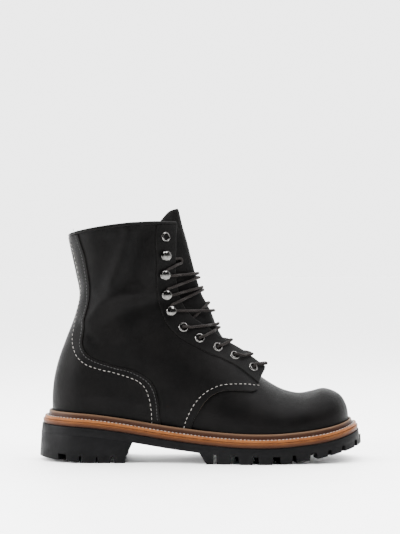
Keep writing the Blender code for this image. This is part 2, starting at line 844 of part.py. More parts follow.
def build_hook(row, inset, side, name):
    section = Section(row, side)
    lift = OVERLAY_GAP + EYESTAY_THICKNESS + EYELET_GAP
    centre, frame = skin(row, section.throat() - inset, side, lift)
    path = HOOK_STATIONS.values[:, :2]
    run = np.gradient(path, axis=0)
    run /= np.linalg.norm(run, axis=1, keepdims=True)
    points = []
    for (away, off), (run_away, run_off), half in zip(path, run, HOOK_STATIONS.column("half_width")):
        middle = centre + frame[0] * away + frame[2] * off
        thick = (frame[0] * -run_off + frame[2] * run_away) * HOOK_THICKNESS / 2
        wide = frame[1] * half
        points += [middle - wide - thick, middle + wide - thick, middle + wide + thick, middle - wide + thick]
    return make_object(name, points, tube_faces(len(path), 4), "nickel")


def lace_end(row, side, length_from_edge, shift):
    """A point of the lace over the eyestay, moved along the throat by shift."""
    section = Section(row, side)
    lift = OVERLAY_GAP + EYESTAY_THICKNESS + LACE_GAP + LACE_RADIUS
    point, frame = skin(row, section.throat() + length_from_edge, side, lift)
    towards = last(row + 0.05, 1.0, side) - last(row - 0.05, 1.0, side)
    return point + frame[1] * shift * np.sign(np.dot(frame[1], towards))


def lace_path(row_lateral, row_medial, shift_lateral, shift_medial):
    """Points of one run of lace, over both edges of the throat and across the tongue."""
    points = [lace_end(row_lateral, LATERAL, gap, shift_lateral) for gap in (-5.0, 0.6)]
    for share in (-0.6, 0.0, 0.6):
        side = MEDIAL if share > 0 else LATERAL
        row = row_lateral + (row_medial - row_lateral) * (share + 1) / 2
        section = Section(row, side)
        t = section.t_aside(abs(share) * section_value("gap", row)) if share else 1.0
        lift = 0.75 * float(flap_lift(section, section.throat())) + 2.2 * share**2
        shift = shift_lateral + (shift_medial - shift_lateral) * (share + 1) / 2
        point = raised(row, t, side, lift)
        towards = last(row + 0.05, 1.0, side) - last(row - 0.05, 1.0, side)
        points.append(point + towards / np.linalg.norm(towards) * shift)
    points += [lace_end(row_medial, MEDIAL, gap, shift_medial) for gap in (0.6, -5.0)]
    return np.array(points)


def build_tube(name, path):
    run = np.gradient(path, axis=0)
    run /= np.linalg.norm(run, axis=1, keepdims=True)
    points = []
    first = np.array((0.8, 0.0, 0.6))
    for middle, ahead in zip(path, run):
        first = first - ahead * np.dot(first, ahead)
        first /= np.linalg.norm(first)
        second = np.cross(ahead, first)
        for k in range(LACE_SIDES):
            angle = 2 * math.pi * k / LACE_SIDES
            points.append(middle + (first * math.cos(angle) + second * math.sin(angle)) * LACE_RADIUS)
    return make_object(name, points, tube_faces(len(path), LACE_SIDES), "brown_lace")


def build_laces():
    lowest = LACED_ROWS[0]
    build_tube("lace_bar", lace_path(lowest, lowest, -LACE_STEP, -LACE_STEP))
    for k, (low, high) in enumerate(zip(LACED_ROWS[:-1], LACED_ROWS[1:])):
        rising = build_tube(f"lace_crossing_{k + 1}", lace_path(low, high, LACE_STEP, -LACE_STEP))
        falling = build_tube("lace_falling", lace_path(high, low, -LACE_STEP, LACE_STEP))
        unite(rising, [falling])


def build_fittings():
    for side in (LATERAL, MEDIAL):
        for k, (row, inset) in enumerate(EYELETS.values):
            build_eyelet(row, inset, side, f"eyelet_{SIDE_NAMES[side]}_{k + 1}")
        for k, (row, inset) in enumerate(HOOKS.values):
            build_hook(row, inset, side, f"hook_{SIDE_NAMES[side]}_{k + 1}")


# Sole


def contour(height, side):
    """Foot of the last at a height over the sole line, from the toe's tip round one side to the heel's tip."""
    found = []
    for row in np.concatenate([np.linspace(0, 2, 41), np.linspace(2.1, 21, 170)]):
        t = np.linspace(0, 1, 400)
        points = last(row, t, side)
        level = points[:, 2] - seat(points[:, 0]) - SEAT_GAP
        if level[0] > height + 1e-6:
            break
        if level.max() < height:
            continue
        k = int(np.argmax(level >= height))
        if k == 0:
            found.append(points[0])
            continue
        share = (height - level[k - 1]) / (level[k] - level[k - 1])
        found.append(points[k - 1] + (points[k] - points[k - 1]) * share)
    found = np.array(found)
    tips = found[[0, -1]].copy()
    tips[0, 0] += 0.3
    tips[0, 1] = section_value("ridge", 0.0)
    tips[1] = (BACK.at("x", tips[1, 2]), 0.0, tips[1, 2])
    return np.concatenate([tips[:1], found, tips[1:]])


def spaced(points, cells, turn_weight=40.0):
    """Points along a line, closer together where it turns."""
    steps = np.diff(points[:, :2], axis=0)
    lengths = np.linalg.norm(steps, axis=1)
    keep = np.concatenate([[True], lengths > 1e-3])
    points = points[keep]
    steps = np.diff(points[:, :2], axis=0)
    lengths = np.linalg.norm(steps, axis=1)
    fine = np.linspace(0, lengths.sum(), 400)
    reach = np.concatenate([[0], np.cumsum(lengths)])
    even = np.stack([np.interp(fine, reach, points[:, k]) for k in range(3)], axis=1)
    runs = np.diff(even[:, :2], axis=0)
    heading = np.unwrap(np.arctan2(runs[:, 1], runs[:, 0]))
    turns = np.abs(np.diff(heading))
    turns = np.convolve(np.concatenate([[0], turns]), np.ones(15) / 15, "same")
    measure = np.concatenate([[0], np.cumsum(np.linalg.norm(runs, axis=1) + turn_weight * turns)])
    where = np.interp(np.linspace(0, measure[-1], cells + 1), measure, np.arange(len(even)))
    return np.stack([np.interp(where, np.arange(len(even)), even[:, k]) for k in range(3)], axis=1)


def ring(height, cells=RING_CELLS):
    """Closed plan outline of the last's foot: toe, lateral side, heel, medial side."""
    lateral = spaced(contour(height, LATERAL), cells)
    medial = spaced(contour(height, MEDIAL), cells)
    return np.concatenate([lateral, medial[1:-1][::-1]])[:, :2]


def ring_normals(outline):
    ahead, behind = np.roll(outline, -1, axis=0), np.roll(outline, 1, axis=0)
    run = ahead - behind
    normal = np.stack([-run[:, 1], run[:, 0]], axis=1)
    area = np.sum(outline[:, 0] * np.roll(outline[:, 1], -1) - outline[:, 1] * np.roll(outline[:, 0], -1))
    return -np.sign(area) * normal / np.linalg.norm(normal, axis=1, keepdims=True)


def layers_out(x):
    """How far the layers over the last stand out at the foot of the upper."""
    quarter = QUARTER_LIFT * ease((SEAM_STEP_X[0] - x) / (SEAM_STEP_X[0] - SEAM_STEP_X[1]))
    share = ease((COUNTER_STEP_X[0] - x) / (COUNTER_STEP_X[0] - COUNTER_STEP_X[1]))
    return WELT_GAP + 1.05 * (quarter + (OVERLAY_GAP + COUNTER_THICKNESS) * share)


def grown(outline, margin):
    """Outline moved out over the layers and then by a margin that is less along the sides than at the ends."""
    normal = ring_normals(outline)
    share = SIDE_MARGIN_SHARE + (1 - SIDE_MARGIN_SHARE) * np.abs(normal[:, 0])
    return outline + normal * (layers_out(outline[:, 0]) + margin * share)[:, None]


def loft_faces(loops, count):
    faces = []
    for i in range(loops - 1):
        for k in range(count):
            n = (k + 1) % count
            faces.append([i * count + k, i * count + n, (i + 1) * count + n, (i + 1) * count + k])
    return faces


def cap_faces(start, count):
    """Quads across a closed loop, from one side to the other."""
    half = count // 2
    faces = []
    for k in range(half):
        loop = [k, k + 1, (count - k - 1) % count, (count - k) % count]
        loop = [start + v for n, v in enumerate(loop) if v != loop[n - 1]]
        faces.append(loop)
    return faces


def plate(name, loops, finish):
    """Solid between stacked loops of equal count, closed above and below."""
    count = len(loops[0])
    faces = loft_faces(len(loops), count) + cap_faces(0, count) + cap_faces((len(loops) - 1) * count, count)
    return make_object(name, np.concatenate(loops), faces, finish)


def with_height(outline, height):
    return np.column_stack([outline, height])


def tread(x):
    return np.maximum(SOLE.at("tread", x), 0.0)


def build_welt():
    foot, lip = ring(0.0), ring(LIP_HEIGHT)
    points = []
    for share, out, height in WELT_PROFILE.values:
        outline = foot + (lip - foot) * share
        normal = ring_normals(outline)
        side_share = SIDE_MARGIN_SHARE + (1 - SIDE_MARGIN_SHARE) * np.abs(normal[:, 0])
        reach = layers_out(outline[:, 0]) + (out * side_share if out > 5 else out)
        moved = outline + normal * reach[:, None]
        points.append(with_height(moved, seat(moved[:, 0]) + height))
    count = len(foot)
    faces = loft_faces(len(points), count)
    top = (len(points) - 1) * count
    faces += [[top + k, top + (k + 1) % count, (k + 1) % count, k] for k in range(count)]
    return make_object("welt", np.concatenate(points), faces, "tan_leather")


def build_midsole():
    outline = grown(ring(0.0), MIDSOLE_MARGIN)
    top = with_height(outline, seat(outline[:, 0]))
    lower = with_height(outline, seat(outline[:, 0]) - MIDSOLE_THICKNESS)
    return plate("midsole", [lower, top], "tan_leather")


def build_insole():
    outline = ring(0.0, 26)
    outline = outline - ring_normals(outline) * (VAMP_WALL + INSOLE_GAP)
    low = with_height(outline, seat(outline[:, 0]) + SEAT_GAP)
    high = with_height(outline, seat(outline[:, 0]) + SEAT_GAP + INSOLE_THICKNESS)
    return plate("insole", [low, high], "insole_leather")


def rubber_top(x):
    return seat(x) - MIDSOLE_THICKNESS - SEAT_GAP


def rubber_under(x):
    return rubber_top(x) - OUTSOLE_BASE


class Edge:
    """One side of a plan outline, read by its x."""

    def __init__(self, outline, side):
        half = len(outline) // 2
        run = outline[: half + 1] if side == LATERAL else np.concatenate([outline[half:], outline[:1]])[::-1]
        self.run = run[::-1]

    def at(self, x):
        return np.interp(x, self.run[:, 0], self.run[:, 1])

    def normal(self, x):
        slope = (self.at(x + 0.4) - self.at(x - 0.4)) / 0.8
        normal = np.stack([-slope, np.ones_like(slope)], axis=-1)
        normal /= np.linalg.norm(normal, axis=-1, keepdims=True)
        return normal * np.sign(self.at(x))[..., None]


def lug(foot, crown):
    """Block from a plan polygon in the sole down to a slightly smaller one on the tread."""
    count = len(foot)
    faces = [[k, (k + 1) % count, count + (k + 1) % count, count + k] for k in range(count)]
    faces += [list(range(count)), list(range(count, 2 * count))]
    return make_object("lug", np.concatenate([foot, crown]), faces, "black_rubber")


def edge_lug(wide, narrow, start, end, side, under):
    """Block along the sole's edge between two stations."""
    x = np.linspace(start, end, 4)
    root_x = np.linspace(min(start - LUG_DRAFT, FOREFOOT_BACK_TOP if 0 < start < 10 else start), end + LUG_DRAFT, 4)
    outer_tread = np.stack([x, wide[side].at(x)], axis=1)
    outer_root = np.stack([root_x, narrow[side].at(root_x)], axis=1)
    inward = -wide[side].normal(np.array([start, end]))
    inner = outer_tread[[0, -1]] + inward * LUG_DEPTH
    inner[:, 0] = np.clip(inner[:, 0], start - 8, end)
    crown_plan = np.concatenate([outer_tread, inner[::-1]])
    root_inner = inner + (inner - crown_plan.mean(axis=0)) * 0.06
    root_inner[:, 0] += root_x[[0, -1]] - x[[0, -1]]
    root_plan = np.concatenate([outer_root, root_inner[::-1]])
    crown = with_height(crown_plan, tread(crown_plan[:, 0]))
    root = with_height(root_plan, under(root_plan[:, 0]) + LUG_SINK)
    return lug(root, crown)


def bar_lug(start, end, half_width, under, centre):
    plan = np.array([(start, -half_width), (end, -half_width), (end, half_width), (start, half_width)], float)
    plan[:, 1] += centre
    grown_plan = plan + np.sign(plan - plan.mean(axis=0)) * LUG_DRAFT
    return lug(
        with_height(grown_plan, under(grown_plan[:, 0]) + LUG_SINK),
        with_height(plan, tread(plan[:, 0])),
    )


def end_lug(wide, narrow, x_edge, x_tip, under):
    """Block that wraps round the toe's or the heel's tip."""
    reach = np.concatenate([np.linspace(0, 0.9, 4), [0.985]])
    x = x_edge + (x_tip - x_edge) * reach
    inner_x = x_edge + (x_edge - x_tip) / abs(x_edge - x_tip) * 9.0

    def outline(edges):
        lateral = np.stack([x, edges[LATERAL].at(x)], axis=1)
        medial = np.stack([x, edges[MEDIAL].at(x)], axis=1)[::-1]
        back = np.array([(inner_x, medial[-1, 1] * 0.55), (inner_x, lateral[0, 1] * 0.55)])
        return np.concatenate([lateral, medial, back])

    crown_plan, root_plan = outline(wide), outline(narrow)
    return lug(
        with_height(root_plan, under(root_plan[:, 0]) + LUG_SINK),
        with_height(crown_plan, tread(crown_plan[:, 0])),
    )


def edges_of(outline):
    return {side: Edge(outline, side) for side in (LATERAL, MEDIAL)}


def build_outsole():
    base = ring(0.0)
    upper_edge = grown(base, RUBBER_TOP_MARGIN)
    lower_edge = grown(base, RUBBER_TOP_MARGIN + 0.9)
    top = with_height(upper_edge, rubber_top(upper_edge[:, 0]))
    under = with_height(lower_edge, rubber_under(lower_edge[:, 0]))
    body = plate("outsole", [under, top], "black_rubber")
    wide = edges_of(grown(base, RUBBER_TREAD_MARGIN))
    narrow = edges_of(grown(base, RUBBER_TOP_MARGIN + 0.6))
    blocks = []
    for start, end in FOREFOOT_LUGS.values:
        for side in (LATERAL, MEDIAL):
            blocks.append(edge_lug(wide, narrow, start, end, side, rubber_under))
    tip = wide[LATERAL].run[-1, 0]
    blocks.append(end_lug(wide, narrow, TOE_LUG_START, tip, rubber_under))
    for start, end, half_width in CENTRE_LUGS.values:
        if start > 0:
            blocks.append(bar_lug(start, end, half_width, rubber_under, 2.0))
    return unite(body, blocks)


def heel_under(x):
    return tread(x) + HEEL_LUG_HEIGHT


def heel_loop(outline, breast):
    """Plan outline of the heel behind the breast, with even points from lateral to medial."""
    edges = edges_of(outline)
    tip = outline[len(outline) // 2, 0]
    turn = np.linspace(0, math.pi / 2, HEEL_CELLS // 2 + 1)
    x = breast + (tip - breast) * np.sin(turn)
    lateral = np.stack([x, edges[LATERAL].at(x)], axis=1)
    medial = np.stack([x, edges[MEDIAL].at(x)], axis=1)[::-1]
    return np.concatenate([lateral, medial[1:]])


def build_heel():
    base = ring(0.0)
    top_plan = heel_loop(grown(base, RUBBER_TOP_MARGIN + 1.0), HEEL_BREAST_TOP)
    low_plan = heel_loop(grown(base, RUBBER_TREAD_MARGIN - 0.4), HEEL_BREAST_TREAD + 3.0)
    top = with_height(top_plan, rubber_under(top_plan[:, 0]) - SEAT_GAP)
    low = with_height(low_plan, heel_under(low_plan[:, 0]))
    count = len(top)
    faces = loft_faces(2, count)
    for start in (0, count):
        faces += [[start + k, start + k + 1, start + count - 2 - k, start + count - 1 - k] for k in range(count // 2)]
    body = make_object("heel", np.concatenate([low, top]), faces, "black_rubber")
    wide = edges_of(grown(base, RUBBER_TREAD_MARGIN))
    narrow = edges_of(grown(base, RUBBER_TREAD_MARGIN - 0.9))
    blocks = []
    for start, end in HEEL_LUGS.values:
        for side in (LATERAL, MEDIAL):
            blocks.append(edge_lug(wide, narrow, start, end, side, heel_under))
    tip = wide[LATERAL].run[0, 0]
    blocks.append(end_lug(wide, narrow, HEEL_BACK_LUG_END, tip, heel_under))
    for start, end, half_width in CENTRE_LUGS.values:
        if start < 0:
            blocks.append(bar_lug(start, end, half_width, heel_under, 0.0))
    return unite(body, blocks)


def main():
    clear_scene()
    build_upper()
    build_counter()
    for side in (LATERAL, MEDIAL):
        build_eyestay(side)
    build_binding()
    build_tongue()
    build_insole()
    build_welt()
    build_midsole()
    build_outsole()
    build_heel()
    build_fittings()
    build_laces()


if __name__ == "__main__":
    main()
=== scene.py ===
"""Looks of the lace-up leather boot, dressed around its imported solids.

Sizes are in millimetres and become metres when a mesh is made. The toe points along +X, the lateral side
faces -Y and the floor is z = 0. The last is laid out from the middle of its own length, and every mesh is
then moved by FRAME_CENTRE, as the solids are.
"""

import sys
import json
import logging
import math
from dataclasses import dataclass
from enum import Enum
from typing import Callable, Sequence

import bmesh
import bpy
import numpy as np
from numpy.typing import NDArray
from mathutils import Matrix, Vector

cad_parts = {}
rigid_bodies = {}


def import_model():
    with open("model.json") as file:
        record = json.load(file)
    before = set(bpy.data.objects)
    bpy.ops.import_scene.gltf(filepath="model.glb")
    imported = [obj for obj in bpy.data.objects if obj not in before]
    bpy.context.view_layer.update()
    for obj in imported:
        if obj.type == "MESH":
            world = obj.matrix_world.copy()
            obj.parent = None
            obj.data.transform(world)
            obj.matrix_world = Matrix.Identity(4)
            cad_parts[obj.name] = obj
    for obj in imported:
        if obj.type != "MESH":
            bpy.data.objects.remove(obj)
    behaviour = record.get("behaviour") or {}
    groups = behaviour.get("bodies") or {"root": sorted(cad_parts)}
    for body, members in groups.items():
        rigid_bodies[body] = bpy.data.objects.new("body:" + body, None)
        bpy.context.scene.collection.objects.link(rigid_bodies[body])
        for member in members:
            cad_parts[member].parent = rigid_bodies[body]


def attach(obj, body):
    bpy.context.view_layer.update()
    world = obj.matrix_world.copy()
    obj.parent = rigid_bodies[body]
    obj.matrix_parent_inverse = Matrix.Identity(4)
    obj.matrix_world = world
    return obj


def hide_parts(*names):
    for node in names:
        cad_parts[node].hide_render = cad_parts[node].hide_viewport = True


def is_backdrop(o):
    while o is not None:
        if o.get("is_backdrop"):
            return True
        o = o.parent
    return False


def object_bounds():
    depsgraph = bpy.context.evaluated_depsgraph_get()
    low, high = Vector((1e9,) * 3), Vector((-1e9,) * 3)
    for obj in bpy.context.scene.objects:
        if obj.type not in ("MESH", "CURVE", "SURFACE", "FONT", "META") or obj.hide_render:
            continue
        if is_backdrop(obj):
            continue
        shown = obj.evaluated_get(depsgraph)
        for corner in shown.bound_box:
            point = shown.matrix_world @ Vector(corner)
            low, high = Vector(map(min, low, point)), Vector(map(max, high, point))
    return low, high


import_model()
cad_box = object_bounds()

Array = NDArray[np.float64]
Height = Callable[[Array], Array]
Faces = list[list[int]]
Colour = tuple[float, float, float, float]
Piece, Material = bpy.types.Object, bpy.types.Material
Node, Socket = bpy.types.Node, bpy.types.NodeSocket
LOG = logging.getLogger("boot")
BODY = "root"
MILLIMETRE = 0.001
FRAME_CENTRE = np.array((0.721, -1.145, 0.0))
MERGE_DISTANCE = 0.004


class Side(Enum):
    """The two sides of the boot, by the sign of their y."""

    LATERAL = -1
    MEDIAL = 1

    @property
    def label(self) -> str:
        """Plain name of the side."""
        return self.name.lower()


class Slot(Enum):
    """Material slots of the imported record."""

    BLACK_LEATHER = "black_leather"
    TAN_LEATHER = "tan_leather"
    BLACK_RUBBER = "black_rubber"
    INSOLE_LEATHER = "insole_leather"
    NICKEL = "nickel"
    BROWN_LACE = "brown_lace"


# Curves and tables


class Curve:
    """A cubic curve through values at rising keys, held flat past the ends."""

    def __init__(self, keys: Array, values: Array) -> None:
        """Keeps values at rising keys, with their slopes."""
        self.keys, self.values = np.asarray(keys, float), np.asarray(values, float)
        self.slopes = np.gradient(self.values, self.keys)

    def at(self, where: Array) -> Array:
        """Values read at keys.

        Args:
            where: The keys.

        Returns:
            The values.
        """
        keys, values, slopes = self.keys, self.values, self.slopes
        where = np.minimum(np.maximum(where, keys[0]), keys[-1])
        i = np.minimum(np.searchsorted(keys[1:], where, side="right"), len(keys) - 2)
        span = keys[i + 1] - keys[i]
        s = (where - keys[i]) / span
        rest = 1 - s
        start = values[i] * (1 + 2 * s) + slopes[i] * span * s
        end = values[i + 1] * (3 - 2 * s) - slopes[i + 1] * span * rest
        return start * rest * rest + end * s * s


def ease(value: Array) -> Array:
    """0 below 0, 1 above 1 and smooth between."""
    value = np.clip(value, 0.0, 1.0)
    return value * value * (3 - 2 * value)


def rounded(share: Array, power: Array) -> Array:
    """Superellipse quarter: 1 at share 0, 0 at share 1."""
    return np.maximum(1 - np.clip(share, 0, 1) ** power, 0) ** (1 / power)


def rolled(distance: Array, radius: float) -> Array:
    """How far a rounded edge falls at a distance from it."""
    share = np.clip(1 - np.asarray(distance, float) / radius, 0, 1)
    return radius * (1 - np.sqrt(1 - share**2))


def unit(vectors: Array) -> Array:
    """Vectors scaled to length 1."""
    return vectors / np.maximum(np.linalg.norm(vectors, axis=-1, keepdims=True), 1e-12)


def running_length(points: Array) -> Array:
    """Length of a line of points up to each of them."""
    return np.concatenate([[0], np.cumsum(np.linalg.norm(np.diff(points, axis=0), axis=1))])


class Table:
    """A short table with named columns, read smoothly along its first column."""

    def __init__(self, columns: str, rows: Sequence[Sequence[float]]) -> None:
        """Keeps the rows.

        Args:
            columns: Names of the columns, with spaces between.
            rows: One row of numbers for each key.
        """
        self.columns = columns.split()
        self.values = np.array(rows, float)
        rising = bool(np.all(np.diff(self.values[:, 0]) > 0))
        self.curves = {name: Curve(self.values[:, 0], self.column(name)) for name in self.columns if rising}

    @classmethod
    def drawn(cls, *places: tuple[float, float]) -> "Table":
        """A line through given places, seen from the side."""
        return cls("step x z", [(step, *place) for step, place in enumerate(places)])

    def column(self, name: str) -> Array:
        """All values of a column."""
        return self.values[:, self.columns.index(name)]

    def at(self, name: str, where: Array) -> Array:
        """A column read at keys of the first one."""
        return self.curves[name].at(where)

    def line(self, count: int) -> Array:
        """Points of a smooth line through columns x and z, evenly along the first column."""
        steps = np.linspace(self.values[0, 0], self.values[-1, 0], count)
        return np.stack([self.at("x", steps), self.at("z", steps)], axis=1)


# The last, with the same sections as the solids, and the lines of its panels

SOLE = Table("x seat tread", [
    (-156, 39.8, 4.6), (-130, 38.6, 2.2), (-104, 36.9, 0.0), (-75, 33.2, 0.0), (-55, 30.0, 0.0),
    (-25, 25.4, 0.0), (0, 22.4, 0.0), (25, 20.2, 0.0), (50, 19.2, 0.0), (74, 19.4, 0.0), (100, 21.6, 3.2),
    (125, 25.8, 8.6), (142, 30.4, 12.8), (156, 35.2, 17.2)
])
PLAN = Table("x lateral medial", [
    (-105, -30.5, 29.5), (-60, -30.5, 25.5), (-15, -36.5, 26.5), (25, -45.5, 38.5), (55, -49.0, 46.0),
    (95, -42.5, 45.5)
])
BACK = Table("z x", [
    (40, -137.7), (57, -138.2), (75, -136.8), (92, -133.0), (115, -124.8), (138, -116.2), (157, -112.4),
    (178, -116.0), (200, -120.8), (216, -124.0), (230, -126.0)
])
FOOT_SECTIONS = Table("row base_x crest_x crest_z lateral medial ridge shoulder crown gap bow", [
    (0, 142.2, 142.2, 31.6, -44.5, 47.5, 2.5, 0.20, 2.3, 7, 0),
    (1, 140.0, 141.4, 46.0, -44.5, 47.5, 2.5, 0.20, 2.3, 7, 0),
    (2, 134.5, 137.0, 57.4, -44.5, 47.5, 2.5, 0.20, 2.3, 7, 0),
    (3, 127.0, 130.0, 63.6, -44.5, 47.5, 2.5, 0.20, 2.3, 7, 0),
    (4, 116.5, 118.7, 66.9, -44.5, 47.5, 2.6, 0.20, 2.3, 7, 0),
    (5, 104.5, 107.2, 64.4, -45.0, 47.5, 2.8, 0.20, 2.2, 7, 0),
    (6, 91.5, 95.7, 62.5, -46.0, 47.5, 3.2, 0.20, 2.1, 7, 0),
    (7, 77.5, 84.2, 64.4, -48.0, 48.0, 3.6, 0.20, 2.0, 7, 0),
    (8, 62.0, 72.7, 69.1, -50.2, 48.6, 4.0, 0.20, 1.95, 7, 0),
    (9, 42.0, 56.8, 79.6, -51.0, 48.0, 4.0, 0.20, 1.9, 6, 0),
    (10, 29.0, 50.0, 88.5, -49.5, 45.5, 4.0, 0.22, 1.8, 6.5, 0),
    (11, 12.0, 38.6, 101.6, -47.0, 42.0, 4.0, 0.26, 1.7, 7.5, 0),
    (12, -6.0, 27.8, 113.0, -44.0, 38.5, 3.6, 0.30, 1.6, 9.5, 0),
    (13, -27.0, 20.2, 125.2, -41.0, 36.5, 3.0, 0.34, 1.5, 13.5, 0),
    (14, -51.0, 14.6, 139.6, -38.8, 35.5, 2.4, 0.38, 1.5, 18, 0),
    (15, -77.0, 8.7, 150.6, -37.0, 35.0, 1.6, 0.42, 1.5, 19.8, 0),
    (16, -103.0, 4.0, 158.0, -35.6, 34.8, 0.9, 0.46, 1.5, 19.2, 0),
    (17, -123.0, 1.0, 164.0, -35.0, 34.6, 0.4, 0.48, 1.5, 18.4, 0),
    (18, -134.0, -1.0, 169.6, -34.8, 34.6, 0.1, 0.50, 1.5, 18.1, 0),
    (19, -137.7, -2.6, 175.0, -34.8, 34.6, 0.0, 0.50, 1.5, 18, 0)
])
SHAFT_SECTIONS = Table("row base_z crest_x crest_z lateral medial ridge shoulder crown gap bow", [
    (20, 55.0, -4.0, 180.0, -34.8, 34.6, 0.0, 0.50, 1.5, 18, 0),
    (21, 75.0, -5.8, 186.5, -34.8, 34.6, 0.0, 0.50, 1.5, 18.1, 0.2),
    (22, 100.0, -7.8, 193.5, -34.8, 34.6, 0.0, 0.50, 1.5, 18, 0.5),
    (23, 128.0, -9.8, 200.5, -35.2, 35.0, 0.0, 0.50, 1.5, 17.9, 1.0),
    (24, 155.0, -11.7, 207.0, -36.0, 36.0, 0.0, 0.50, 1.5, 17.3, 1.8),
    (25, 180.0, -13.5, 213.0, -37.0, 37.0, 0.0, 0.50, 1.5, 16, 2.7),
    (26, 199.0, -15.2, 218.5, -38.0, 38.0, 0.0, 0.50, 1.5, 14.2, 3.4),
    (27, 211.5, -16.4, 222.5, -38.5, 38.5, 0.0, 0.50, 1.5, 12.6, 3.8),
    (28, 226.0, -20.4, 239.5, -38.5, 38.5, 0.0, 0.50, 1.5, 11, 3.8)
])
QUARTER_EDGE = Table.drawn(
    (-9.9, 16.0), (-9.4, 22.0), (-7.6, 35.0), (-2.0, 46.3), (3.7, 56.0), (10.7, 62.6), (20.5, 66.6),
    (34.4, 67.0), (54.0, 65.0), (64.0, 63.5)
)
COUNTER_EDGE = Table.drawn(
    (-36.0, 18.0), (-37.4, 42.0), (-40.2, 63.2), (-46.8, 76.3), (-62.7, 85.7), (-80.5, 90.3),
    (-101.5, 97.8), (-108.4, 106.0), (-109.6, 116.0), (-105.0, 138.0), (-102.6, 160.0), (-106.2, 190.0),
    (-111.4, 208.0), (-115.0, 220.0)
)
EYELETS = Table("row inset", [
    (10.1, 12.0), (11.36, 14.0), (12.67, 14.0), (14.07, 15.0), (15.42, 14.5), (25.3, 13.0)
])
HOOKS = Table("row inset", [
    (17.79, 15.5), (20.33, 15.5), (22.21, 15.0), (23.75, 14.5)
])

# Rows of white stitches, seen from the side
COUNTER_STITCH = Table.drawn(
    (-44.6, 33.0), (-45.0, 47.0), (-46.8, 58.0), (-50.6, 68.6), (-57.2, 75.6), (-66.0, 79.4), (-80.6, 84.0),
    (-95.4, 87.4), (-108.0, 92.4), (-115.6, 101.0), (-118.4, 113.0), (-116.8, 126.0), (-112.8, 146.0),
    (-110.4, 161.0), (-113.2, 180.0), (-117.0, 196.0), (-120.8, 209.0)
)
QUARTER_STITCH = Table.drawn(
    (-15.4, 29.0), (-13.6, 37.4), (-9.6, 47.0), (-3.0, 57.6), (6.4, 66.2), (17.2, 71.2), (28.0, 72.6),
    (42.0, 72.4), (54.0, 70.6)
)


@dataclass(frozen=True)
class Crease:
    """A soft ridge or trough of the leather along a line seen from the side."""

    line: tuple[tuple[float, float], ...]
    height: float
    width: float

    def at(self, x: Array, z: Array) -> Array:
        """How far the leather stands out at places seen from the side.

        Args:
            x: Places along the foot.
            z: Their heights.

        Returns:
            The distances.
        """
        corners = np.array(self.line)
        keys = np.arange(len(corners), dtype=float)
        fine = np.linspace(0, keys[-1], 24)
        path = np.stack([Curve(keys, corners[:, k]).at(fine) for k in (0, 1)], axis=1)
        nearest = np.full(np.shape(x), np.inf)
        for px, pz in path:
            nearest = np.minimum(nearest, (x - px) ** 2 + (z - pz) ** 2)
        return self.height * np.exp(-nearest / self.width**2)


CREASES = (
    Crease(((-66.0, 216.0), (-70.0, 200.0), (-76.0, 182.0), (-83.0, 166.0)), 2.7, 6.5),
    Crease(((-55.0, 218.0), (-58.0, 195.0), (-63.0, 172.0)), -2.0, 7.0),
    Crease(((-88.0, 206.0), (-92.0, 184.0), (-95.0, 166.0)), -1.9, 8.0),
    Crease(((-105.0, 132.0), (-92.0, 148.0), (-76.0, 156.0), (-58.0, 158.0)), 2.7, 6.0),
    Crease(((-100.0, 117.0), (-82.0, 133.0), (-62.0, 144.0), (-42.0, 149.0)), -2.2, 8.0),
    Crease(((-44.0, 205.0), (-46.0, 180.0)), 1.1, 7.0),
)


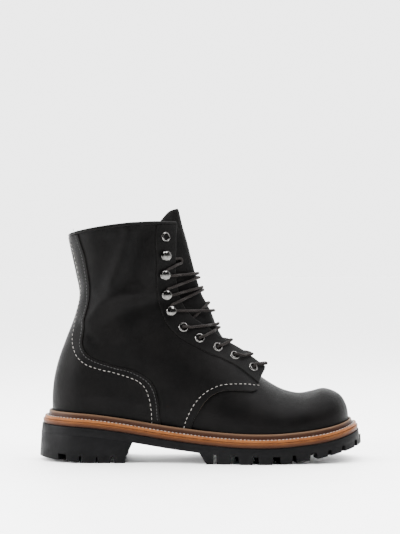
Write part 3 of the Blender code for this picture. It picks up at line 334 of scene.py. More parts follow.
class LastForm:
    """The boot's last: a fan of sections from the toe to the collar."""

    SEAT_GAP = 0.3
    TOE_TIP_X = 142.2
    TOE_ROUND_X = 95.0
    TOE_ROUND_POWER = 2.3
    HEEL_TIP_X = -137.7
    HEEL_ROUND_X = -105.0
    HEEL_ROUND_POWER = 2.2
    WALL_RISE = 28.0
    HEEL_ROW = 19.0
    LAST_ROW = 28.0
    ROW_STEP = 0.02
    SHARE_STEP = 0.003
    NEAR_END = 0.004
    NEAR_TIP = 0.08

    def __init__(self) -> None:
        """Joins the tables of the foot and the shaft."""
        rows = np.concatenate([FOOT_SECTIONS.column("row"), SHAFT_SECTIONS.column("row")])
        self.sizes = {
            name: Curve(rows, np.concatenate([FOOT_SECTIONS.column(name), SHAFT_SECTIONS.column(name)]))
            for name in FOOT_SECTIONS.columns[2:]
        }
        foot_x = FOOT_SECTIONS.column("base_x")
        shaft_z = SHAFT_SECTIONS.column("base_z")
        self.base_x = Curve(rows, np.concatenate([foot_x, BACK.at("x", shaft_z)]))
        self.base_z = Curve(rows, np.concatenate([self.seat(foot_x) + self.SEAT_GAP, shaft_z]))
        self.fan_rows = np.linspace(0.0, self.LAST_ROW, 2801)
        self.fan_base = np.stack(self.base(self.fan_rows), axis=1)
        crest = [self.value("crest_x", self.fan_rows), self.value("crest_z", self.fan_rows)]
        self.fan_run = np.stack(crest, axis=1) - self.fan_base

    def seat(self, x: Array) -> Array:
        """Height of the midsole's top."""
        return SOLE.at("seat", x)

    def value(self, name: str, row: Array) -> Array:
        """A size of the sections, read at rows."""
        return self.sizes[name].at(row)

    def base(self, row: Array) -> tuple[Array, Array]:
        """Where sections start in the side view: on the sole line, then up the back seam.

        Args:
            row: Sections of the last.

        Returns:
            Their x and z.
        """
        x, z = self.base_x.at(row), self.base_z.at(row)
        on_sole = np.asarray(row) <= self.HEEL_ROW
        return np.where(on_sole, x, BACK.at("x", z)), np.where(on_sole, self.seat(x) + self.SEAT_GAP, z)

    def point(self, row: Array, t: Array, side: Side) -> Array:
        """Points of the last: row picks the section, and t runs along it from base to crest.

        Args:
            row: Sections of the last.
            t: Shares along them, from base to crest.
            side: Which side.

        Returns:
            The points.
        """
        row, t = np.broadcast_arrays(np.asarray(row, float), np.asarray(t, float))
        base_x, base_z = self.base(row)
        x = base_x + (self.value("crest_x", row) - base_x) * t
        bow = self.value("bow", row) * 4 * t * (1 - t)
        z = base_z + (self.value("crest_z", row) - base_z) * t + bow
        foot = PLAN.at(side.label, x)
        height = z - self.seat(x) - self.SEAT_GAP
        wide = foot + (self.value(side.label, row) - foot) * ease(height / self.WALL_RISE)
        shoulder = self.value("shoulder", row)
        crown = rounded((t - shoulder) / (1 - shoulder), self.value("crown", row))
        toe_share = (x - self.TOE_ROUND_X) / (self.TOE_TIP_X - self.TOE_ROUND_X)
        from_back = x - BACK.at("x", z) + self.HEEL_TIP_X
        heel_share = (self.HEEL_ROUND_X - from_back) / (self.HEEL_ROUND_X - self.HEEL_TIP_X)
        ends = rounded(toe_share, self.TOE_ROUND_POWER) * rounded(heel_share, self.HEEL_ROUND_POWER)
        ridge = self.value("ridge", row)
        return np.stack([x, ridge + (wide - ridge) * crown * ends, z], axis=-1)

    def profile_normal(self, row: Array, t: Array, sign: int) -> Array:
        """Normals in the side view, along the crest or up the back seam.

        Args:
            row: Sections of the last.
            t: Shares along them, from base to crest.
            sign: 1 on the crest, -1 on the back seam.

        Returns:
            The normals.
        """
        step, side = self.ROW_STEP, Side.LATERAL
        run = self.point(row + step, t, side) - self.point(row - step, t, side)
        return np.stack([sign * run[..., 2], np.zeros_like(row), -sign * run[..., 0]], axis=-1)

    def normal(self, row: Array, t: Array, side: Side) -> Array:
        """Unit normals of the last, pointing out.

        Args:
            row: Sections of the last.
            t: Shares along them, from base to crest.
            side: Which side.

        Returns:
            The normals.
        """
        row, t = np.broadcast_arrays(np.asarray(row, float), np.asarray(t, float))
        at_tip = (row <= 0)[..., None]
        on_crest = (t >= 1)[..., None]
        on_back = ((t <= 0) & (row >= self.HEEL_ROW))[..., None]
        step, share = self.ROW_STEP, self.SHARE_STEP
        row = np.clip(row, self.NEAR_TIP, self.LAST_ROW - step)
        inside = np.clip(t, self.NEAR_END, 1 - self.NEAR_END)
        along = self.point(row + step, inside, side) - self.point(row - step, inside, side)
        up = self.point(row, inside + share, side) - self.point(row, inside - share, side)
        normal = np.cross(along, up) * side.value
        normal = np.where(on_crest, self.profile_normal(row, np.ones_like(t), 1), normal)
        seam_row = np.maximum(row, self.HEEL_ROW + 1.5 * step)
        normal = np.where(on_back, self.profile_normal(seam_row, np.zeros_like(t), -1), normal)
        return unit(np.where(at_tip, (1.0, 0.0, 0.0), normal))

    def raised(self, row: Array, t: Array, side: Side, lift: Array) -> Array:
        """Points of the last moved out by lift, with the leather's creases.

        Args:
            row: Sections of the last.
            t: Shares along them, from base to crest.
            side: Which side.
            lift: Distances out.

        Returns:
            The points.
        """
        points = self.point(row, t, side)
        relief = sum(crease.at(points[..., 0], points[..., 2]) for crease in CREASES)
        return points + self.normal(row, t, side) * (np.asarray(lift, float) + relief)[..., None]

    def locate(self, x: Array, z: Array) -> tuple[Array, Array]:
        """Row and t of places seen from the side.

        Args:
            x: Places along the foot.
            z: Their heights.

        Returns:
            The rows and the shares along them.
        """
        height = np.array(z, float)
        for _ in range(3):
            off = np.stack([x, height], axis=1)[:, None] - self.fan_base[None]
            cross = self.fan_run[None, :, 0] * off[..., 1] - self.fan_run[None, :, 1] * off[..., 0]
            turned = np.argmax((cross[:, :-1] > 0) & (cross[:, 1:] <= 0), axis=1)
            pick = np.arange(len(turned))
            low, high = cross[pick, turned], cross[pick, turned + 1]
            row = self.fan_rows[turned] + self.fan_rows[1] * low / np.maximum(low - high, 1e-9)
            run, start = self.fan_run[turned], self.fan_base[turned]
            place = np.stack([x, height], axis=1)
            t = np.sum((place - start) * run, axis=1) / np.sum(run * run, axis=1)
            height = z - self.value("bow", row) * 4 * t * (1 - t)
        return row, np.clip(t, 0, 1)


class Section:
    """One section of the last on one side, with lengths measured along it."""

    SAMPLES = 241

    def __init__(self, form: LastForm, row: float, side: Side) -> None:
        """Measures the section.

        Args:
            form: The last.
            row: Which section.
            side: Which side of it.
        """
        self.form, self.row = form, row
        self.t = 1 - (1 - np.linspace(0, 1, self.SAMPLES)) ** 2
        self.points = form.point(row, self.t, side)
        self.along = running_length(self.points)
        self.length = float(self.along[-1])
        self.aside = np.abs(self.points[:, 1] - form.value("ridge", row))

    def t_at(self, length: Array) -> Array:
        """Shares at lengths."""
        return np.interp(length, self.along, self.t)

    def length_at(self, t: Array) -> Array:
        """Lengths at shares."""
        return np.interp(t, self.t, self.along)

    def t_aside(self, distance: Array) -> Array:
        """Where the front of the section lies a distance to the side of the ridge."""
        widest = int(np.argmax(self.aside))
        return np.interp(distance, self.aside[widest:][::-1], self.t[widest:][::-1])

    def throat(self) -> float:
        """Length up to the throat's edge."""
        return float(self.length_at(self.t_aside(self.form.value("gap", self.row))))


class LengthChart:
    """Lengths along the sections of one side, read for many places at once."""

    def __init__(self, form: LastForm, side: Side) -> None:
        """Measures sections at close rows.

        Args:
            form: The last.
            side: Which side.
        """
        self.rows = np.linspace(0.0, form.LAST_ROW, 561)
        self.parts = np.linspace(0, 1, 241)
        sections = [Section(form, row, side) for row in self.rows]
        self.totals = np.array([section.length for section in sections])
        self.throats = np.array([section.throat() for section in sections])
        self.shares = np.array([section.t_at(self.parts * section.length) for section in sections])
        self.lengths = np.array([section.length_at(self.parts) / section.length for section in sections])

    def read(self, chart: Array, row: Array, part: Array) -> Array:
        """A chart read between its rows and columns.

        Args:
            chart: The chart.
            row: Sections of the last.
            part: Places along them, from 0 to 1.

        Returns:
            The values.
        """
        i = np.clip(np.asarray(row, float) / self.rows[1], 0, len(self.rows) - 1.001)
        j = np.clip(np.asarray(part, float), 0, 1) * (len(self.parts) - 1.001)
        low_i, low_j = i.astype(int), j.astype(int)
        a, b = i - low_i, j - low_j
        near = chart[low_i, low_j] * (1 - b) + chart[low_i, low_j + 1] * b
        far = chart[low_i + 1, low_j] * (1 - b) + chart[low_i + 1, low_j + 1] * b
        return near * (1 - a) + far * a

    def total(self, row: Array) -> Array:
        """Whole lengths of rows."""
        return np.interp(row, self.rows, self.totals)

    def t_at(self, row: Array, length: Array) -> Array:
        """Shares at lengths along rows."""
        return self.read(self.shares, row, length / self.total(row))

    def length_at(self, row: Array, t: Array) -> Array:
        """Lengths at shares along rows."""
        return self.read(self.lengths, row, t) * self.total(row)

    def throat(self, row: Array) -> Array:
        """Lengths up to the throat's edge."""
        return np.interp(row, self.rows, self.throats)


def line_distance(places: Array, line: Array) -> Array:
    """Distances of places from a line, both seen from the side.

    Args:
        places: The places.
        line: Points of the line.

    Returns:
        The distances.
    """
    nearest = np.full(places.shape[:-1], np.inf)
    for start, end in zip(line[:-1], line[1:]):
        run = end - start
        share = np.clip((places - start) @ run / (run @ run), 0, 1)
        nearest = np.minimum(nearest, np.linalg.norm(places - start - share[..., None] * run, axis=-1))
    return nearest


# Meshes


def add_object(name: str, data: bpy.types.ID) -> Piece:
    """A new object in the scene.

    Args:
        name: Its name.
        data: Its mesh, light or camera.

    Returns:
        The object.
    """
    made = bpy.data.objects.new(name, data)
    bpy.context.scene.collection.objects.link(made)
    return made


def in_frame(points: Array) -> list[list[float]]:
    """Points of the layout in millimetres, moved to the frame in metres."""
    return ((np.asarray(points) - FRAME_CENTRE) * MILLIMETRE).tolist()


def make_piece(name: str, points: Array, faces: Sequence[Sequence[int]],
               materials: Sequence[Material], inner: Sequence[bool] | None = None,
               values: dict[str, Array] | None = None, sharp: float = 40.0) -> Piece:
    """One object from points in millimetres, with coinciding points merged.

    Args:
        name: Name of the piece.
        points: Corners in the layout frame.
        faces: Loops of corners.
        materials: Materials, the second for inner faces.
        inner: Which faces take the second material.
        values: Numbers kept at each corner for the materials.
        sharp: Angle past which an edge stays crisp.

    Returns:
        The object, at the origin.
    """
    mesh = bpy.data.meshes.new(name)
    mesh.from_pydata(in_frame(points), [], [list(face) for face in faces])
    if inner is not None:
        mesh.polygons.foreach_set("material_index", np.asarray(inner, np.int32))
    for key, numbers in (values or {}).items():
        layer = mesh.attributes.new(key, "FLOAT", "POINT")
        layer.data.foreach_set("value", np.asarray(numbers, np.float32))
    work = bmesh.new()
    work.from_mesh(mesh)
    bmesh.ops.remove_doubles(work, verts=work.verts, dist=MERGE_DISTANCE * MILLIMETRE)
    bmesh.ops.dissolve_degenerate(work, dist=MERGE_DISTANCE / 2 * MILLIMETRE, edges=work.edges)
    bmesh.ops.recalc_face_normals(work, faces=work.faces)
    work.to_mesh(mesh)
    work.free()
    mesh.shade_smooth()
    mesh.set_sharp_from_angle(angle=math.radians(sharp))
    for material in materials:
        mesh.materials.append(material)
    return add_object(name, mesh)


def baked(piece: Piece) -> Piece:
    """The piece with its modifiers turned into plain mesh.

    Args:
        piece: The piece.

    Returns:
        The same piece.
    """
    bpy.context.view_layer.update()
    evaluated = piece.evaluated_get(bpy.context.evaluated_depsgraph_get())
    mesh = bpy.data.meshes.new_from_object(evaluated)
    piece.modifiers.clear()
    piece.data = mesh
    return piece


def grid_faces(rows: int, columns: int, start: int, flip: bool) -> Faces:
    """Quads of a grid of points.

    Args:
        rows: Rows of points.
        columns: Points in a row.
        start: Index of the first point.
        flip: Whether the loops are turned round.

    Returns:
        The loops.
    """
    ids = start + np.arange(rows * columns).reshape(rows, columns)
    loops = np.stack([ids[:-1, :-1], ids[:-1, 1:], ids[1:, 1:], ids[1:, :-1]], axis=-1).reshape(-1, 4)
    return (loops[:, ::-1] if flip else loops).tolist()


def loop_faces(loops: int, count: int, closed: bool = False) -> Faces:
    """Quads from one closed loop of points to the next, and back to the first if closed.

    Args:
        loops: How many loops.
        count: Points in a loop.
        closed: Whether the last joins the first.

    Returns:
        The loops of corners.
    """
    ids = np.arange(loops * count).reshape(loops, count)
    ahead = np.roll(ids, -1, axis=1)
    last = loops if closed else loops - 1
    above, above_ahead = np.roll(ids, -1, axis=0)[:last], np.roll(ahead, -1, axis=0)[:last]
    return np.stack([ids[:last], ahead[:last], above_ahead, above], axis=-1).reshape(-1, 4).tolist()


def tube_faces(loops: int, count: int) -> Faces:
    """Quads from loop to loop, with a face over each end."""
    last = (loops - 1) * count
    return loop_faces(loops, count) + [list(range(count))[::-1], list(range(last, last + count))]


class Wall:
    """A leather sheet made of grids with an outer and an inner face, closed along its rim."""

    def __init__(self) -> None:
        """Starts with no grid."""
        self.points: list[Array] = []
        self.faces: Faces = []
        self.inner: list[bool] = []
        self.edge: list[Array] = []
        self.count = 0

    def add(self, outer: Array, inner: Array, edge: Array, flip: bool, open_sides: str = "",
            last_rim_from: int | None = None, first_rim_to: int | None = None) -> None:
        """Adds a grid.

        Args:
            outer: Rows of points of the outer face.
            inner: Rows of points of the inner face.
            edge: Nearness to a cut edge at each outer point, from 0 to 1.
            flip: Whether the loops are turned round.
            open_sides: Letters of the sides that get no rim because they join another grid: first row f,
                last row l, first column a, last column z.
            last_rim_from: Column at which the last row's rim starts, where only part of it is joined.
            first_rim_to: Row at which the first column's rim ends, where the rest of it is joined.
        """
        rows, columns = outer.shape[:2]
        size = rows * columns
        start = self.count
        self.points += [outer.reshape(-1, 3), inner.reshape(-1, 3)]
        self.edge += [edge.reshape(-1), edge.reshape(-1)]
        front = grid_faces(rows, columns, start, flip)
        back = grid_faces(rows, columns, start + size, not flip)
        rim = []
        ids = start + np.arange(size).reshape(rows, columns)
        runs = {"f": ids[0], "l": ids[-1, last_rim_from:], "a": ids[:first_rim_to, 0], "z": ids[:, -1]}
        for letter, run in runs.items():
            if letter not in open_sides:
                rim += [[a, b, b + size, a + size] for a, b in zip(run[:-1].tolist(), run[1:].tolist())]
        self.faces += front + back + rim
        self.inner += [False] * len(front) + [True] * len(back) + [False] * len(rim)
        self.count += 2 * size

    def piece(self, name: str, materials: Sequence[Material]) -> Piece:
        """The sheet as an object."""
        values = {"edge": np.concatenate(self.edge)}
        return make_piece(name, np.concatenate(self.points), self.faces, materials, self.inner, values)


def tube_points(path: Array, radius: float, sides: int) -> Array:
    """Rings of points round a path, with no twist.

    Args:
        path: Points of the centre line.
        radius: Radius of the tube.
        sides: Points in a ring.

    Returns:
        Rings by points by coordinates.
    """
    run = unit(np.gradient(path, axis=0))
    angles = np.arange(sides) * 2 * math.pi / sides
    first = np.array((0.3, 0.8, 0.52))
    rings = []
    for middle, ahead in zip(path, run):
        first = unit(first - ahead * np.dot(first, ahead))
        second = np.cross(ahead, first)
        rings.append(middle + radius * (np.outer(np.cos(angles), first) + np.outer(np.sin(angles), second)))
    return np.array(rings)


def flowing(points: Array, step: float) -> Array:
    """Even points along a rounded line through the given ones.

    Args:
        points: The given points.
        step: Distance between the even points.

    Returns:
        The even points.
    """
    keys = np.concatenate([[0], np.cumsum(np.sqrt(np.linalg.norm(np.diff(points, axis=0), axis=1)))])
    fine = np.linspace(0, keys[-1], len(points) * 40)
    dense = np.stack([Curve(keys, points[:, k]).at(fine) for k in range(3)], axis=1)
    reach = running_length(dense)
    even = np.linspace(0, reach[-1], int(reach[-1] / step) + 1)
    return np.stack([np.interp(even, reach, dense[:, k]) for k in range(3)], axis=1)


# Finishes


class NodeTree:
    """A tree of nodes, filled by short calls."""

    def __init__(self, tree: bpy.types.NodeTree) -> None:
        """Keeps the tree."""
        self.tree = tree

    def add(self, kind: str, inputs: dict[str, object] | None = None, **settings: object) -> Node:
        """Adds a node, sets its properties, and fills or links its inputs.

        Args:
            kind: Type of the node.
            inputs: Values or sockets for its inputs.
            settings: Values of its properties.

        Returns:
            The node.
        """
        node = self.tree.nodes.new(kind)
        for key, value in settings.items():
            setattr(node, key, value)
        for key, value in (inputs or {}).items():
            self.put(node.inputs[key], value)
        return node

    def put(self, socket: Socket, value: object) -> None:
        """Links a socket, or sets its value.

        Args:
            socket: The socket.
            value: Another socket, or a value.
        """
        if isinstance(value, Socket):
            self.tree.links.new(value, socket)
        else:
            socket.default_value = value

    def put_all(self, node: Node, values: dict[int, object]) -> None:
        """Links or sets a node's inputs by their numbers."""
        for number, value in values.items():
            self.put(node.inputs[number], value)

    def math(self, operation: str, first: object, second: object = 0.5) -> Socket:
        """Two values put together by an operation.

        Args:
            operation: Name of the operation.
            first: One value.
            second: The other.

        Returns:
            The result.
        """
        node = self.add("ShaderNodeMath", operation=operation)
        self.put_all(node, {0: first, 1: second})
        return node.outputs[0]

    def span(self, value: object, low: float, high: float, to_low: float,
             to_high: float) -> Socket:
        """A value mapped from one range to another and held inside it."""
        inputs = {"Value": value, "From Min": low, "From Max": high, "To Min": to_low, "To Max": to_high}
        return self.add("ShaderNodeMapRange", inputs).outputs["Result"]


class Nodes(NodeTree):
    """A material's node tree."""

    def __init__(self, name: str) -> None:
        """Makes a named material with one Principled shader.

        Args:
            name: Name of the material.
        """
        self.material = bpy.data.materials.new(name)
        self.material.use_nodes = True
        super().__init__(self.material.node_tree)
        self.shader = self.tree.nodes["Principled BSDF"]
        self.coordinates = self.add("ShaderNodeTexCoord")

    def noise(self, scale: float, detail: float = 3.0, roughness: float = 0.5) -> Socket:
        """Noise on Object coordinates.

        Args:
            scale: Features in a metre.
            detail: Layers of detail.
            roughness: Weight of the fine layers.

        Returns:
            The noise, from 0 to 1.
        """
        inputs = {"Vector": self.coordinates.outputs["Object"], "Scale": scale, "Detail": detail,
                  "Roughness": roughness}
        return self.add("ShaderNodeTexNoise", inputs).outputs["Fac"]

    def cells(self, scale: float) -> Socket:
        """Distance to the cells' edges on Object coordinates."""
        inputs = {"Vector": self.coordinates.outputs["Object"], "Scale": scale}
        return self.add("ShaderNodeTexVoronoi", inputs, feature="DISTANCE_TO_EDGE").outputs["Distance"]

    def attribute(self, name: str) -> Socket:
        """A number kept at the mesh's corners."""
        return self.add("ShaderNodeAttribute", attribute_name=name).outputs["Fac"]

    def mix(self, share: object, first: object, second: object) -> Socket:
        """A colour between two others.

        Args:
            share: Share of the second.
            first: One colour.
            second: The other.

        Returns:
            The colour.
        """
        node = self.add("ShaderNodeMix", data_type="RGBA")
        self.put_all(node, {0: share, 6: first, 7: second})
        return node.outputs[2]

    def bump(self, layers: Sequence[tuple[object, float]]) -> None:
        """Bumps the surface by several heights.

        Args:
            layers: Heights, each with its depth in millimetres.
        """
        below = None
        for height, depth in layers:
            inputs = {"Height": height, "Distance": depth * MILLIMETRE, "Strength": 1.0}
            node = self.add("ShaderNodeBump", inputs)
            if below is not None:
                self.put(node.inputs["Normal"], below)
            below = node.outputs["Normal"]
        self.put(self.shader.inputs["Normal"], below)

    def finish(self, colour: object, roughness: object, **settings: object) -> Material:
        """Sets the shader's colour, roughness and other inputs, with _ for a space in their names.

        Args:
            colour: Base colour.
            roughness: Roughness.
            settings: The other inputs.

        Returns:
            The material.
        """
        self.put(self.shader.inputs["Base Color"], colour)
        self.put(self.shader.inputs["Roughness"], roughness)
        for key, value in settings.items():
            self.put(self.shader.inputs[key.replace("_", " ")], value)
        return self.material


@dataclass(frozen=True)
class LeatherFinish:
    """Oiled smooth leather with a fine grain, paler along its cut edges."""

    name: str
    dark: Colour = (0.0010, 0.0010, 0.0010, 1)
    pale: Colour = (0.0028, 0.0026, 0.0025, 1)
    worn: Colour = (0.008, 0.0075, 0.007, 1)
    roughness: tuple[float, float] = (0.42, 0.56)
    grain_per_metre: float = 1250.0
    grain_depth: float = 0.05
    gloss: float = 0.045

    def build(self) -> Material:
        """Makes the material.

        Returns:
            The material.
        """
        nodes = Nodes(self.name)
        cloud = nodes.noise(34.0, 4.0, 0.6)
        fine = nodes.noise(900.0, 3.0, 0.6)
        colour = nodes.mix(nodes.span(cloud, 0.3, 0.7, 0, 1), self.dark, self.pale)
        scuff = nodes.math("MULTIPLY", nodes.attribute("edge"), nodes.span(fine, 0.35, 0.65, 0.2, 1.0))
        colour = nodes.mix(scuff, colour, self.worn)
        gloss = nodes.span(nodes.noise(60.0, 5.0, 0.6), 0.3, 0.7, *self.roughness)
        pores = nodes.span(nodes.cells(self.grain_per_metre), 0.0, 0.25, 0.0, 1.0)
        nodes.bump([(nodes.noise(120.0, 2.0), 0.25), (pores, self.grain_depth), (fine, 0.06)])
        return nodes.finish(colour, gloss, Specular_IOR_Level=self.gloss)


@dataclass(frozen=True)
class WeltFinish:
    """Tan leather strip with a greyer raised lip, with painted shade on its lower edges, in its groove and
    behind its lip.
    """

    name: str
    tan: Colour = (0.182, 0.066, 0.020, 1)
    deep: Colour = (0.124, 0.041, 0.0120, 1)
    lip: Colour = (0.085, 0.052, 0.031, 1)
    # Painted shade: the colour laid in the welt's hollows and along the lower edges of welt and midsole.
    burnt: Colour = (0.020, 0.0066, 0.0030, 1)

    def build(self) -> Material:
        """Makes the material.

        Returns:
            The material.
        """
        nodes = Nodes(self.name)
        fibre = nodes.noise(420.0, 6.0, 0.65)
        cloud = nodes.noise(70.0, 3.0)
        colour = nodes.mix(nodes.span(cloud, 0.32, 0.68, 0, 1), self.tan, self.deep)
        colour = nodes.mix(nodes.attribute("lip"), colour, self.lip)
        # Painted shade from the mesh's values darkens the hollows and lower edges.
        colour = nodes.mix(nodes.attribute("burnt"), colour, self.burnt)
        nodes.bump([(fibre, 0.16), (nodes.noise(1600.0, 2.0), 0.05)])
        gloss = nodes.span(fibre, 0.3, 0.7, 0.38, 0.6)
        return nodes.finish(colour, gloss, Specular_IOR_Level=0.09)


@dataclass(frozen=True)
class RubberFinish:
    """Moulded black rubber, matt, with a faint dusty bloom."""

    name: str
    dark: Colour = (0.0020, 0.0020, 0.0022, 1)
    bloom: Colour = (0.0046, 0.0046, 0.0049, 1)

    def build(self) -> Material:
        """Makes the material.

        Returns:
            The material.
        """
        nodes = Nodes(self.name)
        cloud = nodes.noise(48.0, 5.0, 0.65)
        colour = nodes.mix(nodes.span(cloud, 0.3, 0.72, 0, 1), self.dark, self.bloom)
        nodes.bump([(nodes.noise(1500.0, 3.0), 0.06), (nodes.noise(260.0, 2.0), 0.07)])
        gloss = nodes.span(nodes.noise(140.0, 4.0), 0.3, 0.7, 0.5, 0.68)
        return nodes.finish(colour, gloss, Specular_IOR_Level=0.07)


@dataclass(frozen=True)
class MetalFinish:
    """Polished nickel with fine handling marks."""

    name: str
    bright: Colour = (0.115, 0.113, 0.109, 1)
    dull: Colour = (0.062, 0.060, 0.057, 1)

    def build(self) -> Material:
        """Makes the material.

        Returns:
            The material.
        """
        nodes = Nodes(self.name)
        cloud = nodes.noise(500.0, 3.0)
        colour = nodes.mix(nodes.span(cloud, 0.35, 0.7, 0, 1), self.bright, self.dull)
        gloss = nodes.span(nodes.noise(900.0, 4.0), 0.3, 0.7, 0.12, 0.26)
        nodes.bump([(nodes.noise(1800.0, 2.0), 0.012)])
        return nodes.finish(colour, gloss, Metallic=1.0)


@dataclass(frozen=True)
class CordFinish:
    """Braided or twisted cord whose strands follow its own UV map, with painted shade between the strands and
    painted highlight on their crests.
    """

    name: str
    dark: Colour
    pale: Colour
    turns: float
    depth: float

    def build(self) -> Material:
        """Makes the material.

        Returns:
            The material.
        """
        nodes = Nodes(self.name)
        uv = nodes.add("ShaderNodeSeparateXYZ", {"Vector": nodes.coordinates.outputs["UV"]})
        along, around = uv.outputs["X"], nodes.math("MULTIPLY", uv.outputs["Y"], 4.0)
        strands = []
        for operation in ("ADD", "SUBTRACT"):
            phase = nodes.math(operation, nodes.math("MULTIPLY", along, self.turns), around)
            strands.append(nodes.math("SINE", nodes.math("MULTIPLY", phase, 2 * math.pi)))
        weave = nodes.math("MAXIMUM", *strands)
        share = nodes.span(weave, -0.6, 1.0, 0.0, 1.0)
        # Painted shade and highlight: darker in the grooves between strands, paler on their crests.
        colour = nodes.mix(nodes.math("MULTIPLY", share, nodes.noise(900.0, 2.0)), self.dark, self.pale)
        nodes.bump([(share, self.depth), (nodes.noise(2600.0, 2.0), 0.05)])
        return nodes.finish(colour, nodes.span(share, 0, 1, 0.85, 0.7), Specular_IOR_Level=0.15)


@dataclass(frozen=True)
class ThreadFinish:
    """Waxed sewing thread."""

    name: str
    dark: Colour
    pale: Colour

    def build(self) -> Material:
        """Makes the material.

        Returns:
            The material.
        """
        nodes = Nodes(self.name)
        fluff = nodes.noise(1500.0, 3.0)
        colour = nodes.mix(nodes.span(fluff, 0.3, 0.7, 0, 1), self.dark, self.pale)
        nodes.bump([(fluff, 0.08)])
        return nodes.finish(colour, nodes.span(fluff, 0.3, 0.7, 0.5, 0.7))


@dataclass(frozen=True)
class FloorFinish:
    """Plain pale studio floor."""

    name: str
    pale: Colour = (0.97, 0.97, 0.97, 1)
    shade: Colour = (0.955, 0.955, 0.955, 1)

    def build(self) -> Material:
        """Makes the material.

        Returns:
            The material.
        """
        nodes = Nodes(self.name)
        colour = nodes.mix(nodes.noise(6.0, 2.0), self.pale, self.shade)
        gloss = nodes.span(nodes.noise(30.0), 0.3, 0.7, 0.45, 0.55)
        return nodes.finish(colour, gloss, Specular_IOR_Level=0.3)


class Finishes:
    """Every material of the boot, made once."""

    def __init__(self) -> None:
        """Makes the materials."""
        self.leather = LeatherFinish("black_leather_grain").build()
        self.lining = LeatherFinish(
            "lining_leather", dark=(0.035, 0.024, 0.017, 1), pale=(0.062, 0.043, 0.03, 1),
            worn=(0.07, 0.05, 0.035, 1), roughness=(0.6, 0.75), gloss=0.2).build()
        self.insole = LeatherFinish(
            "insole_board_leather", dark=(0.22, 0.13, 0.07, 1), pale=(0.33, 0.21, 0.12, 1),
            worn=(0.18, 0.10, 0.05, 1), roughness=(0.6, 0.78), gloss=0.2).build()
        self.welt = WeltFinish("tan_welt_leather").build()
        self.rubber = RubberFinish("black_sole_rubber").build()
        self.nickel = MetalFinish("polished_nickel").build()
        # The lace's first colour is painted shade between strands, its second a painted highlight on their
        # crests.
        self.lace = CordFinish("brown_braided_lace", (0.0030, 0.0023, 0.0021, 1),
                               (0.0155, 0.0115, 0.0100, 1), 1.0, 0.22).build()
        self.white_thread = ThreadFinish(
            "white_thread", (0.20, 0.19, 0.175, 1), (0.36, 0.345, 0.32, 1)).build()
        self.black_thread = ThreadFinish(
            "black_thread", (0.002, 0.002, 0.002, 1), (0.006, 0.006, 0.0055, 1)).build()


def seat_piece(piece: Piece, slot: Slot, *nodes: str) -> None:
    """Rides a piece on the boot and hides the solids that it stands for.

    Args:
        piece: The finished piece.
        slot: The record's slot; not used.
        nodes: Names of the solids.
    """
    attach(piece, BODY)
    if nodes:
        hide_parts(*nodes)
    triangles = sum(len(polygon.vertices) - 2 for polygon in piece.data.polygons)
    LOG.info("%s: %d triangles", piece.name, triangles)


# Repeats made by Geometry Nodes


class Repeater(NodeTree):
    """A node tree that sets copies of a small unit on points or along a path."""

    INPUTS = ("Geometry", "Unit", "Pitch", "Finish")

    def __init__(self, name: str, along_path: bool) -> None:
        """Builds the tree.

        Args:
            name: Name of the tree.
            along_path: Whether points are spaced along the edges of the mesh it is given.
        """
        super().__init__(bpy.data.node_groups.new(name, "GeometryNodeTree"))
        face = self.tree.interface
        self.ids = {}
        for label, kind in zip(self.INPUTS, ("Geometry", "Object", "Float", "Material")):
            socket = face.new_socket(label, in_out="INPUT", socket_type="NodeSocket" + kind)
            self.ids[label] = socket.identifier
        face.new_socket("Geometry", in_out="OUTPUT", socket_type="NodeSocketGeometry")
        given = self.add("NodeGroupInput").outputs
        if along_path:
            curve = self.add("GeometryNodeMeshToCurve", {"Mesh": given["Geometry"]}).outputs["Curve"]
            spacing = {"Curve": curve, "Length": given["Pitch"]}
            points = self.add("GeometryNodeResampleCurve", spacing, mode="LENGTH").outputs["Curve"]
            ahead = self.add("GeometryNodeInputTangent").outputs["Tangent"]
        else:
            points, ahead = given["Geometry"], self.vector("ahead")
        turned = self.add("FunctionNodeAlignRotationToVector", {"Vector": ahead}, axis="X")
        turn = {"Vector": self.vector("out"), "Rotation": turned.outputs["Rotation"]}
        turned = self.add("FunctionNodeAlignRotationToVector", turn, axis="Z", pivot_axis="X")
        copied = self.add("GeometryNodeObjectInfo", {"Object": given["Unit"]}).outputs["Geometry"]
        inputs = {"Points": points, "Instance": copied, "Rotation": turned.outputs["Rotation"]}
        copies = self.add("GeometryNodeInstanceOnPoints", inputs).outputs["Instances"]
        real = self.add("GeometryNodeRealizeInstances", {"Geometry": copies}).outputs["Geometry"]
        dressed = self.add("GeometryNodeSetMaterial", {"Geometry": real, "Material": given["Finish"]})
        self.add("NodeGroupOutput", {"Geometry": dressed.outputs["Geometry"]})

    def vector(self, name: str) -> Socket:
        """A vector kept at the points."""
        node = self.add("GeometryNodeInputNamedAttribute", {"Name": name}, data_type="FLOAT_VECTOR")
        return node.outputs["Attribute"]

    def run(self, name: str, points: Array, edges: Sequence[tuple[int, int]], vectors: dict[str, Array],
            copied: Piece, finish: Material, pitch: float = 1.0) -> Piece:
        """Makes a piece of copies.

        Args:
            name: Name of the piece.
            points: Points in the layout frame.
            edges: Edges of the path.
            vectors: Directions at the points.
            copied: The unit.
            finish: Material of the copies.
            pitch: Distance between copies along a path, in millimetres.

        Returns:
            The piece as a plain mesh.
        """
        mesh = bpy.data.meshes.new(name)
        mesh.from_pydata(in_frame(points), edges, [])
        for key, directions in vectors.items():
            layer = mesh.attributes.new(key, "FLOAT_VECTOR", "POINT")
            layer.data.foreach_set("vector", np.asarray(directions, np.float32).ravel())
        piece = add_object(name, mesh)
        modifier = piece.modifiers.new(name, "NODES")
        modifier.node_group = self.tree
        for label, value in zip(self.INPUTS[1:], (copied, pitch * MILLIMETRE, finish)):
            modifier[self.ids[label]] = value
        return baked(piece)


